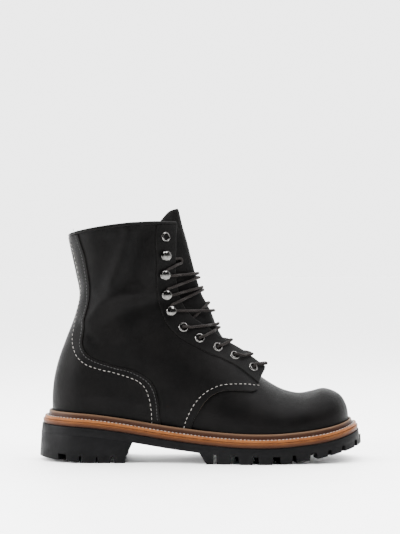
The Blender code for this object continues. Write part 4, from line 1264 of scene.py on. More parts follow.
def make_unit(name: str, points: Array, faces: Sequence[Sequence[int]]) -> Piece:
    """A small unit to be copied, centred on its own origin and kept out of the scene.

    Args:
        name: Name of the unit.
        points: Its corners.
        faces: Loops of corners.

    Returns:
        The unit.
    """
    piece = make_piece(name, np.asarray(points) + FRAME_CENTRE, faces, [], sharp=50.0)
    bpy.context.scene.collection.objects.unlink(piece)
    return piece


# Upper


@dataclass
class Upper:
    """Vamp, quarters, counter, eyestays and collar binding."""

    form: LastForm
    finishes: Finishes
    vamp_wall: float = 2.0
    quarter_lift: float = 1.6
    quarter_inside: float = 1.0
    lap: float = 9.0
    lap_rows: float = 0.35
    lap_gap: float = 0.08
    overlay_gap: float = 0.06
    counter_thickness: float = 1.3
    eyestay_thickness: float = 0.9
    eyestay_width: float = 24.0
    eyestay_inset: float = 0.25
    eyestay_start: float = 0.03
    eyestay_wear: float = 0.6
    lower_edge_row: float = 11.5
    stitch_margin: float = 7.0
    edge_round: float = 0.55
    edge_wear: float = 0.9
    throat_row: float = 9.0
    vamp_row: float = 9.5
    fan_row: float = 13.3
    fan_power: float = 0.6
    collar_row: float = 27.0
    counter_row: float = 13.42
    counter_even_row: float = 14.4
    row_pitch: float = 16.5
    flap_lift: float = 10.0
    flap_rows: float = 3.4
    flap_reach: float = 26.0
    flap_back_power: float = 1.4
    flap_down_power: float = 1.8
    low_corner: float = 5.0
    high_corner: float = 8.0
    binding_half_width: float = 2.3
    binding_half_height: float = 2.1
    binding_drop: float = 0.5

    def __post_init__(self) -> None:
        """Charts the lengths along the sections and where the drawn edges cross them."""
        self.charts = {side: LengthChart(self.form, side) for side in Side}
        rows, shares = self.form.locate(*COUNTER_EDGE.line(500).T)
        order = np.argsort(rows)
        self.counter_rows, self.counter_shares = rows[order], shares[order]
        line = QUARTER_EDGE.line(200)[::-1]
        rows, shares = self.form.locate(*line.T)
        kept = (rows >= self.throat_row) & (shares > 0)
        self.edge_line, self.edge_rows, self.edge_shares = line[kept], rows[kept], shares[kept]
        self.edge_rows[0] = self.throat_row

    def throat(self, row: Array, side: Side) -> Array:
        """Lengths up to the throat's edge."""
        return self.charts[side].throat(row)

    def flap(self, row: Array, length: Array, side: Side) -> Array:
        """How far the quarter's free corner stands off, fading away from the foot of the throat.

        Args:
            row: Sections of the last.
            length: Lengths along them.
            side: Which side.

        Returns:
            The distances.
        """
        back = np.clip(1 - (row - self.throat_row) / self.flap_rows, 0, 1) ** self.flap_back_power
        down = np.clip(1 - (self.throat(row, side) - length) / self.flap_reach, 0, 1)
        return self.flap_lift * back * down**self.flap_down_power

    def high_trim(self, row: Array) -> Array:
        """How far the facing's foot is rounded off at rows."""
        return rolled((row - self.throat_row) * self.row_pitch, self.high_corner)

    def skin(self, row: float, length: float, side: Side, lift: float) -> tuple[Array, Array]:
        """A point over the quarter and the frame there.

        Args:
            row: Section of the last.
            length: Length along it.
            side: Which side.
            lift: Height over the quarter's outer face.

        Returns:
            The point, and the directions away from the throat, up along it, and out.
        """
        shift = float(self.throat(row + 0.05, side) - self.throat(row - 0.05, side)) / 2
        rows = np.array([row, row, row, row + 0.05, row - 0.05])
        lengths = length + np.array([0.0, -0.5, 0.5, shift, -shift])
        heights = self.quarter_lift + self.flap(rows, lengths, side) + lift
        points = self.form.raised(rows, self.charts[side].t_at(rows, lengths), side, heights)
        away, along = points[1] - points[2], points[3] - points[4]
        out = unit(np.cross(away, along) * side.value)
        away = unit(away)
        up = np.cross(out, away)
        return points[0], np.stack([away, up * np.sign(np.dot(up, along)), out])

    def panel(self, wall: Wall, rows: Array, lengths: Array, lifts: tuple[Array, Array, Array], side: Side,
              open_sides: str = "", last_rim_from: int | None = None) -> None:
        """Adds a grid over the last to a wall.

        Args:
            wall: The wall.
            rows: Sections at the grid's places.
            lengths: Lengths along them.
            lifts: Outer and inner lift and nearness to an edge.
            side: Which side.
            open_sides: Sides with no rim.
            last_rim_from: Column at which the last row's rim starts.
        """
        chart = self.charts[side]
        shares = np.where(rows > 0, chart.t_at(rows, lengths), 0.0)
        shares = np.where(lengths >= chart.total(rows), 1.0, shares)
        outer, inner, edge = (np.broadcast_to(lift, rows.shape) for lift in lifts)
        top = self.form.raised(rows, shares, side, outer)
        under = self.form.raised(rows, shares, side, inner)
        on_seam = (rows[:, 0] >= self.form.HEEL_ROW) & (lengths[:, 0] <= 0)
        seam_start = int(np.argmax(on_seam)) + 1 if on_seam.any() else None
        wall.add(top, under, edge, side is Side.LATERAL, open_sides, last_rim_from, seam_start)

    def wear(self, from_edge: Array) -> Array:
        """Nearness to a cut edge, from 0 to 1."""
        return np.clip(1 - from_edge / self.edge_wear, 0, 1)

    def seat(self, wall: Wall, name: str, inside: Material, *nodes: str) -> None:
        """Makes a wall into a piece of black leather and seats it."""
        piece = wall.piece(name, [self.finishes.leather, inside])
        seat_piece(piece, Slot.BLACK_LEATHER, *nodes)

    def edge_steps(self) -> Array:
        """Distances from a cut edge at which the grids have lines."""
        return self.edge_round * np.array((0.0, 0.12, 0.4, 1.0))

    def across(self, start: Array, end: Array, cells: int) -> Array:
        """Shares along lines between two cut edges, closer together beside both.

        Args:
            start: Lengths at the first edge.
            end: Lengths at the second.
            cells: Even points.

        Returns:
            The shares of each line.
        """
        steps = self.edge_steps()[None] / (end - start)[:, None]
        middle = steps[:, -1:] + np.linspace(0, 1, cells)[None] * (1 - 2 * steps[:, -1:])
        return np.concatenate([steps[:, :-1], middle, 1 - steps[:, -2::-1]], axis=1)

    def vamp_top(self, rows: Array, side: Side) -> Array:
        """Lengths up to the vamp's edge behind the quarter."""
        lengths = self.charts[side].length_at(self.edge_rows, self.edge_shares)
        return np.array([lengths[self.edge_rows >= row - self.lap_rows].max() for row in rows]) + self.lap

    def build_vamp(self) -> None:
        """Makes the vamp, from the toe to behind the quarters' lower edge."""
        wall = Wall()
        low_cells, plain = 46, (np.array(0.0), np.array(-self.vamp_wall), np.array(0.0))
        toe_rows = np.concatenate([np.linspace(0, 1, 30) ** 1.4, np.linspace(1, self.vamp_row, 116)[1:]])
        rear_rows = np.linspace(self.vamp_row, self.edge_rows.max() + self.lap_rows - 0.01, 70)
        for side in Side:
            totals = self.charts[side].total(toe_rows)
            joined = float(self.vamp_top(rear_rows[:1], side)[0] / totals[-1])
            columns = np.concatenate([np.linspace(0, joined, low_cells), np.linspace(joined, 1, 50)[1:]])
            rows = np.repeat(toe_rows[:, None], len(columns), axis=1)
            self.panel(wall, rows, totals[:, None] * columns, plain, side, "fz", low_cells - 1)
            columns = np.linspace(0, 1, low_cells)
            rows = np.repeat(rear_rows[:, None], low_cells, axis=1)
            self.panel(wall, rows, self.vamp_top(rear_rows, side)[:, None] * columns, plain, side, "f")
        self.seat(wall, "vamp", self.finishes.lining, "upper")

    def quarter_grid(self, side: Side) -> tuple[Array, Array, Array]:
        """Rows and lengths of lines from the quarter's foot to the throat, and the lines' end lengths.

        Args:
            side: Which side.

        Returns:
            The rows, the lengths and the end lengths.
        """
        reach = running_length(self.edge_line)
        steps = self.edge_steps()
        even = np.concatenate([steps, np.linspace(steps[-1], reach[-1], 80)[1:]])
        seam = np.interp(even, reach, self.edge_rows)
        shares = np.interp(even, reach, self.edge_shares)
        shares[-1] = 0.0
        rear = np.linspace(seam[-1], self.collar_row, 140)[1:]
        fan = (self.fan_row - seam[-1]) * (1 - ease((rear - seam[-1]) / 5))
        start_row = np.concatenate([seam, rear])
        front_end = self.throat_row + (self.fan_row - self.throat_row) * even / reach[-1]
        end_row = np.concatenate([front_end, rear + fan])
        start = self.charts[side].length_at(start_row, np.concatenate([shares, np.zeros_like(rear)]))
        start = start + rolled(np.concatenate([even, rear * 0 + 99]), self.low_corner)
        end = self.throat(end_row, side) - self.high_trim(end_row)
        part = self.across(start, end, 92)
        rows = start_row[:, None] + (end_row - start_row)[:, None] * part**self.fan_power
        return rows, start[:, None] + (end - start)[:, None] * part, end

    def build_quarters(self) -> None:
        """Makes both quarters with the shaft, joined at the back seam."""
        wall = Wall()
        for side in Side:
            rows, lengths, end = self.quarter_grid(side)
            points = self.form.point(rows, self.charts[side].t_at(rows, lengths), side)
            from_lower = line_distance(points[..., ::2], self.edge_line)
            from_edge = np.minimum(from_lower, end[:, None] - lengths)
            from_edge = np.minimum(from_edge, np.maximum(rows - self.throat_row, 0) * self.row_pitch)
            flap = self.flap(rows, lengths, side)
            over = 1 - ease((from_lower - self.lap - 1.0) / 4.0)
            inside = flap - self.quarter_inside + (self.quarter_inside + self.lap_gap) * over
            outer = self.quarter_lift + flap - rolled(from_edge, self.edge_round)
            self.panel(wall, rows, lengths, (outer, inside, self.wear(from_edge)), side)
        self.seat(wall, "quarters", self.finishes.lining)

    def build_counter(self) -> None:
        """Makes the heel counter with the back strip that runs up to the collar."""
        wall = Wall()
        under = self.quarter_lift + self.overlay_gap
        steps = self.edge_steps()
        even_row = self.counter_even_row
        start = self.counter_row + (even_row - self.counter_row) * np.linspace(0, 1, 34) ** 1.5
        at_rows = np.concatenate([start, np.linspace(even_row, self.collar_row, 150)[1:]])
        shares = np.interp(at_rows, self.counter_rows, self.counter_shares)
        for side in Side:
            end = np.maximum(self.charts[side].length_at(at_rows, shares), 2.0)[:, None]
            lengths = np.concatenate([np.linspace(0, 1, 44) * (end - steps[-1]), end - steps[-2::-1]], axis=1)
            rows = np.repeat(at_rows[:, None], lengths.shape[1], axis=1)
            from_edge = np.minimum(end - lengths, (rows - at_rows[0]) * self.row_pitch)
            outer = under + self.counter_thickness - rolled(from_edge, self.edge_round)
            self.panel(wall, rows, lengths, (outer, np.array(under), self.wear(from_edge)), side)
        self.seat(wall, "heel_counter_leather", self.finishes.leather, "heel_counter")

    def build_eyestay(self, side: Side) -> None:
        """Makes the strip that carries the eyelets and hooks of one side.

        Args:
            side: Which side.
        """
        wall = Wall()
        chart = self.charts[side]
        near_front = self.throat_row + self.eyestay_start + self.edge_steps() / self.row_pitch
        at_rows = np.concatenate([near_front, np.linspace(near_front[-1], self.collar_row, 190)[1:]])
        end = chart.throat(at_rows) - self.high_trim(at_rows) - self.eyestay_inset
        front = self.edge_rows < self.lower_edge_row
        lower = np.interp(at_rows, self.edge_rows[front], self.edge_shares[front])
        lowest = chart.length_at(at_rows, lower) + self.stitch_margin
        start = np.maximum(chart.throat(at_rows) - self.eyestay_width, lowest)
        lengths = start[:, None] + (end - start)[:, None] * self.across(start, end, 26)
        rows = np.repeat(at_rows[:, None], lengths.shape[1], axis=1)
        from_edge = np.minimum(lengths - start[:, None], end[:, None] - lengths)
        from_edge = np.minimum(from_edge, (rows - at_rows[0]) * self.row_pitch)
        under = self.quarter_lift + self.overlay_gap + self.flap(rows, lengths, side)
        outer = under + self.eyestay_thickness - rolled(from_edge, self.edge_round)
        self.panel(wall, rows, lengths, (outer, under, self.eyestay_wear * self.wear(from_edge)), side)
        name, node = "eyestay_leather_" + side.label, "eyestay_" + side.label
        self.seat(wall, name, self.finishes.leather, node)

    def build_binding(self) -> None:
        """Makes the rolled edge on the collar, from throat to throat round the back."""
        sides, cells = 16, 90
        middle_lift = (self.quarter_lift - self.quarter_inside) / 2
        rings = []
        for side in Side:
            section = Section(self.form, self.collar_row, side)
            t = section.t_at(np.linspace(0, section.throat() + 0.3, cells))
            if side is Side.LATERAL:
                t = t[::-1][:-1]
            rows = np.full_like(t, self.collar_row)
            out = self.form.normal(rows, t, side)
            up = self.form.point(rows + 0.05, t, side) - self.form.point(rows - 0.05, t, side)
            up = unit(up - out * np.sum(up * out, axis=1, keepdims=True))
            rise = self.binding_half_height - self.binding_drop
            middle = self.form.raised(rows, t, side, np.full_like(t, middle_lift)) + up * rise
            angle = (np.arange(sides) + 0.5) * 2 * math.pi / sides
            wide = np.cos(angle) * self.binding_half_width
            tall = np.sin(angle) * self.binding_half_height
            rings.append(middle[:, None] + out[:, None] * wide[:, None] + up[:, None] * tall[:, None])
        rings = np.concatenate(rings)
        count = len(rings)
        values = {"edge": np.zeros(count * sides)}
        piece = make_piece("collar_roll", rings.reshape(-1, 3), tube_faces(count, sides),
                           [self.finishes.leather], values=values)
        seat_piece(piece, Slot.BLACK_LEATHER, "collar_binding")

    def build(self) -> None:
        """Makes every leather piece of the upper."""
        self.build_vamp()
        self.build_quarters()
        self.build_counter()
        for side in Side:
            self.build_eyestay(side)
        self.build_binding()


@dataclass
class Tongue:
    """The sheet under the throat, softly crowned, with a rounded top."""

    form: LastForm
    finishes: Finishes
    depth: float = 2.4
    side_sink: float = 1.4
    thickness: float = 1.8
    first_row: float = 8.3
    row_pitch: float = 15.0
    corner_row: float = 27.3
    top_row: float = 27.97
    top_power: float = 2.5
    lap: float = 12.0
    top_lap: float = 10.0
    lap_row: float = 15.0
    lap_rows: float = 10.0
    crest_round: float = 4.0
    edge_round: float = 0.7
    swell: float = 3.2
    swell_row: float = 13.0
    swell_rows: float = 5.0
    edge_wear: float = 1.2

    def reach(self, row: Array) -> Array:
        """Half width of the tongue."""
        narrowed = ease((row - self.lap_row) / self.lap_rows)
        return self.form.value("gap", row) + self.lap + (self.top_lap - self.lap) * narrowed

    def surface(self, row: Array, aside: Array, lift: Array) -> Array:
        """Points over the tongue's outer face.

        Args:
            row: Sections of the last.
            aside: Distances from the ridge, negative on the lateral side.
            lift: Heights over the outer face.

        Returns:
            The points.
        """
        row, aside, lift = np.broadcast_arrays(*(np.asarray(v, float) for v in (row, aside, lift)))
        ridge, shoulder = self.form.value("ridge", row), self.form.value("shoulder", row)
        points = np.zeros((*row.shape, 3))
        normals = np.zeros_like(points)
        for side in Side:
            wide = np.abs(self.form.value(side.label, row) - ridge)
            share = np.hypot(aside, self.crest_round) / wide
            t = shoulder + (1 - shoulder) * rounded(share, self.form.value("crown", row))
            mine = (aside * side.value >= 0)[..., None]
            points = np.where(mine, self.form.point(row, t, side), points)
            normals = np.where(mine, self.form.normal(row, t, side), normals)
        gap = self.form.value("gap", row)
        sink = self.depth + self.side_sink * ease((np.abs(aside) - 0.4 * gap) / (0.6 * gap))
        swell = self.swell * ease((row - self.swell_row) / self.swell_rows)
        sink = sink - swell * (1 - ease(np.abs(aside) / gap))
        points[..., 1] = ridge + aside
        normals[..., 1] *= ease(np.abs(aside) / (2 * self.crest_round))
        return points + unit(normals) * (lift - sink)[..., None]

    def build(self) -> None:
        """Makes the tongue."""
        shares = np.linspace(-1, 1, 49)[None]
        steps = np.concatenate([np.linspace(0, 0.86, 90), np.linspace(0.86, 1, 24)[1:]])[:, None]
        end = self.corner_row + (self.top_row - self.corner_row) * (1 - np.abs(shares) ** self.top_power)
        row = self.first_row + (end - self.first_row) * steps
        reach = self.reach(row)
        from_edge = np.minimum((end - row) * self.row_pitch, (1 - np.abs(shares)) * reach)
        outer = self.surface(row, shares * reach, -rolled(from_edge, self.edge_round))
        inner = self.surface(row, shares * reach, -self.thickness)
        wall = Wall()
        wall.add(outer, inner, np.clip(1 - from_edge / self.edge_wear, 0, 1), True)
        piece = wall.piece("tongue_leather", [self.finishes.leather, self.finishes.lining])
        seat_piece(piece, Slot.BLACK_LEATHER, "tongue")


# Fittings and lace


@dataclass
class Fittings:
    """Nickel eyelets and speed hooks on both eyestays."""

    upper: Upper
    finishes: Finishes
    hole_radius: float = 2.9
    outer_radius: float = 4.9
    barrel_depth: float = 2.2
    sides: int = 40
    cap_radius: float = 4.6
    metal: float = 0.4

    def seats(self, table: Table, lift: float) -> tuple[Array, Array, Array]:
        """Places of the fittings of both sides, with the directions away from the throat and out.

        Args:
            table: Rows and insets of the fittings.
            lift: Height over the quarter.

        Returns:
            The places and both directions.
        """
        places, ahead, out = [], [], []
        for side in Side:
            for row, inset in table.values:
                length = float(self.upper.throat(row, side)) - inset
                place, frame_here = self.upper.skin(row, length, side, lift)
                places.append(place)
                ahead.append(frame_here[0])
                out.append(frame_here[2])
        return np.array(places), np.array(ahead), np.array(out)

    def turned(self, profile: Sequence[tuple[float, float]],
               closed: bool = False) -> tuple[Array, Faces]:
        """Points and faces of a profile of radii and heights, turned round the z axis.

        Args:
            profile: The profile.
            closed: Whether its end joins its start.

        Returns:
            The points and the faces.
        """
        angles = np.arange(self.sides) * 2 * math.pi / self.sides
        points = [(r * math.cos(a), r * math.sin(a), h) for r, h in profile for a in angles]
        return np.array(points), loop_faces(len(profile), self.sides, closed)

    def eyelet_unit(self) -> Piece:
        """One rolled eyelet with its barrel, round the z axis.

        Returns:
            The unit.
        """
        hole, rim = self.hole_radius, self.outer_radius
        profile = [(hole, -self.barrel_depth), (hole, 0.2), (hole + 0.1, 0.6), (hole + 0.35, 0.95),
                   (hole + 0.75, 1.1), (hole + 1.15, 1.0), (rim - 0.45, 0.65), (rim - 0.12, 0.2),
                   (rim, -0.25), (rim - 0.3, -0.45), (hole + 0.3, -0.45), (hole + 0.3, -self.barrel_depth)]
        return make_unit("eyelet_unit", *self.turned(profile, closed=True))

    def neck(self) -> tuple[Array, Faces]:
        """Points and faces of a hook's folded neck, from its foot to under its cap.

        Returns:
            The points and the faces.
        """
        path = Table("step away off half", [
            (0, 1.5, 0.15, 2.6), (1, -1.0, 0.15, 2.6), (2, -3.3, 0.3, 2.5), (3, -4.5, 1.2, 2.4),
            (4, -4.5, 2.5, 2.4), (5, -3.5, 3.6, 2.7), (6, -1.5, 4.2, 3.0), (7, 0.5, 4.35, 3.0)])
        steps = np.linspace(0, 7, 43)
        centre = np.stack([path.at("away", steps), path.at("off", steps)], axis=1)
        run = unit(np.gradient(centre, axis=0))
        angles = np.arange(16) * 2 * math.pi / 16
        shares = np.sign(np.cos(angles)) * np.abs(np.cos(angles)) ** 0.6
        thick = self.metal * np.sin(angles)
        points = [(away + run_off * lift, share * half, off - run_away * lift)
                  for (away, off), (run_away, run_off), half in zip(centre, run, path.at("half", steps))
                  for share, lift in zip(shares, thick)]
        return np.array(points), tube_faces(len(steps), len(angles))

    def hook_unit(self) -> Piece:
        """One speed hook: foot, folded neck on the throat's side (-x) and domed cap.

        Returns:
            The unit.
        """
        wide = self.cap_radius
        cap = [(0, 3.85), (wide - 1.0, 3.6), (wide - 0.25, 3.55), (wide, 3.75), (wide - 0.12, 4.0),
               (wide - 0.5, 4.28), (wide - 1.3, 4.6), (wide - 2.4, 4.88), (wide - 3.5, 5.04), (0, 5.1)]
        foot = [(0, -0.4), (wide - 0.9, -0.4), (wide - 0.5, -0.1), (wide - 0.9, 0.35), (0, 0.45)]
        points, faces, count = [], [], 0
        for shell_points, shell_faces in (self.turned(cap), self.turned(foot), self.neck()):
            points.append(shell_points)
            faces += [[corner + count for corner in face] for face in shell_faces]
            count += len(shell_points)
        return make_unit("hook_unit", np.concatenate(points), faces)

    def build(self) -> None:
        """Sets every eyelet and hook on its eyestay."""
        repeater = Repeater("fitting_copies", along_path=False)
        surface = self.upper.overlay_gap + self.upper.eyestay_thickness
        for name, table, lift, made in (
            ("eyelet", EYELETS, surface + 0.15, self.eyelet_unit()),
            ("hook", HOOKS, surface + 0.45, self.hook_unit()),
        ):
            places, ahead, out = self.seats(table, lift)
            vectors = {"ahead": ahead, "out": out}
            piece = repeater.run(name + "s", places, [], vectors, made, self.finishes.nickel)
            nodes = [f"{name}_{side.label}_{k + 1}" for side in Side for k in range(len(table.values))]
            seat_piece(piece, Slot.NICKEL, *nodes)


@dataclass(frozen=True)
class Way:
    """One strand's way over a crossing: which crossing, and the side of its lower fitting."""

    crossing: int
    low: Side


@dataclass
class Lacing:
    """The braided lace, from a bar at the lowest eyelets to its tucked ends behind the facings."""

    upper: Upper
    tongue: Tongue
    finishes: Finishes
    radius: float = 1.35
    sides: int = 12
    step: float = 0.9
    laced_eyelets: int = 5
    laced_hooks: int = 3
    bar_row: float = 9.6
    bar_bow: float = 0.4
    tuck_row: float = 22.1

    # Row at which each crossing passes the ridge, how far the lace stands off the tongue there, and how far
    # its two strands lie apart along the ridge, negative where they cross on the lateral side of it
    CROSSINGS = ((9.9, 0.6, 2.7), (10.5, 10.0, 0.0), (11.95, 6.2, 0.0), (13.25, 0.9, 3.8), (14.62, 1.1, -8.2),
                 (16.8, 1.2, 3.0), (19.2, 1.2, 4.2))

    # How far the lace arches over the facing's edge at the crossings that are stretched from facing to facing
    BRIDGES = {1: 0.9, 2: 2.2}

    def place(self, row: float, side: Side, inset: float, lift: float, shift: float = 0.0) -> Array:
        """A point of the lace near the throat's edge.

        Args:
            row: Section of the last.
            side: Which side.
            inset: Distance behind the throat's edge.
            lift: Height over the quarter's outer face.
            shift: Distance up along the throat.

        Returns:
            The point.
        """
        length = float(self.upper.throat(row, side)) - inset
        point, frame_here = self.upper.skin(row, length, side, lift)
        return point + frame_here[1] * shift

    def over(self) -> float:
        """Lift of a lace that lies on the eyestay."""
        return self.upper.overlay_gap + self.upper.eyestay_thickness + self.radius

    def under(self) -> float:
        """Lift of a lace that runs behind the facing."""
        return -self.upper.quarter_lift - self.upper.quarter_inside - self.radius - 0.1

    def run(self, rows: Array, side: Side, inset: float, lift: float) -> Array:
        """Points at one distance behind the throat's edge, along rows.

        Args:
            rows: The rows.
            side: Which side.
            inset: The distance.
            lift: Height over the quarter.

        Returns:
            The points.
        """
        lengths = self.upper.throat(rows, side) - inset
        heights = self.upper.quarter_lift + self.upper.flap(rows, lengths, side) + lift
        return self.upper.form.raised(rows, self.upper.charts[side].t_at(rows, lengths), side, heights)

    def crossed(self, points: Array, start: Array, end: Array) -> Array:
        """Where a run of points crosses a straight line, both seen from the side.

        Args:
            points: The run.
            start: Start of the line.
            end: Its end.

        Returns:
            The point of the run.
        """
        line, off = (end - start)[::2], points[:, ::2] - start[::2]
        cross = line[0] * off[:, 1] - line[1] * off[:, 0]
        turned = np.nonzero(cross[:-1] * cross[1:] <= 0)[0]
        if len(turned) == 0:
            return points[np.argmin(np.abs(cross))]
        k = int(turned[0])
        share = cross[k] / (cross[k] - cross[k + 1])
        return points[k] + (points[k + 1] - points[k]) * share

    def aim(self, way: Way) -> Array:
        """Where a strand passes over the tongue's ridge, or seems to where it is stretched clear of it.

        Args:
            way: The crossing, and which strand it is there.

        Returns:
            The point.
        """
        row, stand, apart = self.CROSSINGS[way.crossing]
        run = self.tongue.surface(row + 0.1, 0.0, 0.0) - self.tongue.surface(row - 0.1, 0.0, 0.0)
        pitch = np.linalg.norm(run) / 0.2
        shift = (0.5 if way.low is Side.MEDIAL else -0.5) * apart / pitch
        return self.tongue.surface(row + shift, 0.0, self.radius + 0.1 + stand)

    def strand(self, start: Array, row: float, side: Side, way: Way,
               stations: Sequence[tuple[float, float]]) -> list[Array]:
        """Points of a strand that runs straight from a fitting to a crossing, as seen from the side.

        Args:
            start: Where it leaves the fitting.
            row: Section of the fitting.
            side: Which side.
            way: The crossing that it runs to, and which strand it is there.
            stations: Distances behind the throat's edge that it passes, with lifts over the quarter.

        Returns:
            The points after the start.
        """
        crest_row, stand, apart = self.CROSSINGS[way.crossing]
        end = self.aim(way)
        first = max(min(row, crest_row) - 1.2, self.bar_row)
        rows = np.linspace(first, max(row, crest_row) + 1.2, 80)
        points = [self.crossed(self.run(rows, side, inset, lift), start, end) for inset, lift in stations]
        if way.crossing in self.BRIDGES:
            return points
        crosses = way.low is Side.MEDIAL and side is (Side.MEDIAL if apart > 0 else Side.LATERAL)
        for share, over in ((0.75, 0.5), (0.45, 1.0), (0.2, 0.5)):
            aside = share * self.upper.form.value("gap", rows) * side.value
            lift = self.radius + 0.2 + stand + 0.6 * share + (1.9 * self.radius * over if crosses else 0.0)
            points.append(self.crossed(self.tongue.surface(rows, aside, lift), start, end))
        return points

    def middle(self, way: Way, before: Array, after: Array) -> Array:
        """Where a strand passes the ridge, between the points before and after it.

        Args:
            way: The crossing, and which strand it is there.
            before: Point before the ridge.
            after: Point after it.

        Returns:
            The point.
        """
        if way.crossing not in self.BRIDGES:
            return self.aim(way)
        row, stand, _ = self.CROSSINGS[way.crossing]
        out = unit(self.tongue.surface(row, 0.0, stand) - self.tongue.surface(row, 0.0, 0.0))
        return (before + after) / 2 + out * self.radius * (0.95 if way.low is Side.MEDIAL else -0.95)

    def eyelet_end(self, row: float, inset: float, side: Side, way: Way) -> list[Array]:
        """Points from behind an eyelet, out of it, over the facing's edge and to a crossing.

        Args:
            row: Section of the fitting.
            inset: Distance of its middle from the throat's edge.
            side: Which side.
            way: The crossing, and which strand it is there.

        Returns:
            The points.
        """
        over = self.over()
        points = [self.place(row, side, inset + 0.6, self.under()), self.place(row, side, inset + 0.2, -0.6),
                  self.place(row, side, inset - 0.5, over + 0.4)]
        arch = self.BRIDGES.get(way.crossing, 0.0)
        stations = ((inset - 3.6, over + 1.2), (inset - 6.6, over + 0.3 + 0.5 * arch), (0.8, over + arch))
        return points + self.strand(points[1], row, side, way, stations)

    def hidden_end(self, row: float, inset: float, side: Side, way: Way) -> list[Array]:
        """Points from behind an eyelet, under the facing to a crossing."""
        start = self.place(row, side, inset, self.under())
        return self.strand(start, row, side, way, ((0.5 * inset, self.under()), (0.5, self.under() + 0.1)))

    def hook_end(self, row: float, inset: float, side: Side, way: Way, sign: int) -> list[Array]:
        """Points from the middle of a hook's neck, out below or above it and to a crossing.

        Args:
            row: Section of the fitting.
            inset: Distance of its middle from the throat's edge.
            side: Which side.
            way: The crossing, and which strand it is there.
            sign: 1 above the hook, -1 below it.

        Returns:
            The points.
        """
        over = self.over()
        points = [self.place(row, side, inset + away, over + lift, sign * along)
                  for away, along, lift in ((-2.4, 2.2, 1.1), (-4.4, 3.6, 0.6))]
        return points + self.strand(points[-1], row, side, way, ((inset - 8.0, over + 0.1), (0.6, over)))

    def half(self, first: Side) -> Array:
        """Points of one half of the lace, from the bar up to its tucked end.

        Args:
            first: Side of the lowest eyelet that it enters.

        Returns:
            The points.
        """
        over = self.over()
        eyelets = [tuple(values) for values in EYELETS.values[:self.laced_eyelets]]
        hooks = [tuple(values) for values in HOOKS.values[:self.laced_hooks]]
        ways = [Way(k, Side(first.value * (-1) ** k)) for k in range(len(self.CROSSINGS))]
        row, inset = eyelets[0]
        side = first
        points = [self.place(at_row, side, behind, lift) for at_row, behind, lift in (
            (self.bar_row, 0.2, over + 1.2), (row - 0.25, inset - 7.0, over + 0.4),
            (row, inset - 3.2, over + 1.2), (row, inset - 0.6, over + 0.3), (row, inset + 0.2, -1.2),
            (row, inset - 0.4, self.under()))]
        points += self.hidden_end(row, inset, side, ways[0])
        last_eyelet = self.laced_eyelets - 1
        for number, way in enumerate(ways, start=1):
            side = Side(-side.value)
            if number <= last_eyelet:
                row, inset = eyelets[number]
                arrive = self.eyelet_end if number == last_eyelet else self.hidden_end
                leave = self.hidden_end if number == last_eyelet else self.eyelet_end
                arriving, leaving = arrive(row, inset, side, way), leave(row, inset, side, ways[number])
            else:
                row, inset = hooks[number - last_eyelet - 1]
                behind_neck = self.place(row, side, inset - 1.9, over + 1.2)
                arriving = [behind_neck, *self.hook_end(row, inset, side, way, -1)]
                leaving = self.hook_end(row, inset, side, ways[number], 1) if number < len(ways) else []
            points.append(self.middle(way, points[-1], arriving[-1]))
            points += arriving[::-1] + leaving
        points += self.tucked_end(row, inset, side)
        return np.array(points)

    def tucked_end(self, row: float, inset: float, side: Side) -> list[Array]:
        """Points from the last hook over the facing's edge and behind it, up to the top eyelet.

        Args:
            row: Section of the hook.
            inset: Distance of its middle from the throat's edge.
            side: Which side.

        Returns:
            The points.
        """
        over = self.over()
        points = [self.place(row, side, inset - away, over + lift, along)
                  for away, along, lift in ((2.4, 2.2, 1.1), (4.4, 2.8, 0.6))]
        gap = float(self.upper.form.value("gap", self.tuck_row)) * side.value
        rows = np.linspace(row - 1.5, row + 2.5, 90)
        end = self.tongue.surface(self.tuck_row, 0.66 * gap, self.radius + 0.3)
        for station, lift in ((inset - 8.0, 0.1), (0.6, 0.0)):
            points.append(self.crossed(self.run(rows, side, station, over + lift), points[1], end))
        points += [end, self.tongue.surface(self.tuck_row + 0.35, 0.66 * gap, self.radius + 0.3),
                   self.tongue.surface(self.tuck_row + 0.62, 0.82 * gap, self.radius + 0.2)]
        top_row = float(EYELETS.values[-1][0])
        for behind, at_row in ((2.0, row + 0.8), (5.0, row + 1.3), (0.6 * inset, top_row - 0.3)):
            points.append(self.place(at_row, side, behind, self.under()))
        return points

    def path(self) -> Array:
        """Even points along the whole lace.

        Returns:
            The points.
        """
        halves = [self.half(side) for side in (Side.MEDIAL, Side.LATERAL)]
        ends = [half[0] for half in halves]
        bar = (ends[0] + ends[1]) / 2 + np.array((self.bar_bow, 0.0, 0.0))
        return flowing(np.concatenate([halves[0][::-1], [bar], halves[1]]), self.step)

    def build(self) -> None:
        """Makes the lace as one tube."""
        path = self.path()
        rings = tube_points(path, self.radius, self.sides)
        piece = make_piece("lace", rings.reshape(-1, 3), tube_faces(len(path), self.sides),
                           [self.finishes.lace], sharp=60.0)
        self.unwrap(piece)
        nodes = ["lace_bar"] + [f"lace_crossing_{k + 1}" for k in range(len(self.CROSSINGS))]
        LOG.info("lace length %.0f mm", running_length(path)[-1])
        seat_piece(piece, Slot.BROWN_LACE, *nodes)

    def unwrap(self, piece: Piece) -> None:
        """Writes the lace's UV map: u along it in diameters, v round it.

        Args:
            piece: The lace.
        """
        layer = piece.data.uv_layers.new(name="UVMap")
        for polygon in piece.data.polygons:
            corners = [piece.data.loops[k].vertex_index for k in polygon.loop_indices]
            around = [corner % self.sides for corner in corners]
            wraps = max(around) - min(around) > self.sides // 2
            for loop, corner, turn in zip(polygon.loop_indices, corners, around):
                u = (corner // self.sides) * self.step / (2 * self.radius)
                v = (turn + self.sides if wraps and turn < self.sides // 2 else turn) / self.sides
                layer.data[loop].uv = (u, v)


# Stitches


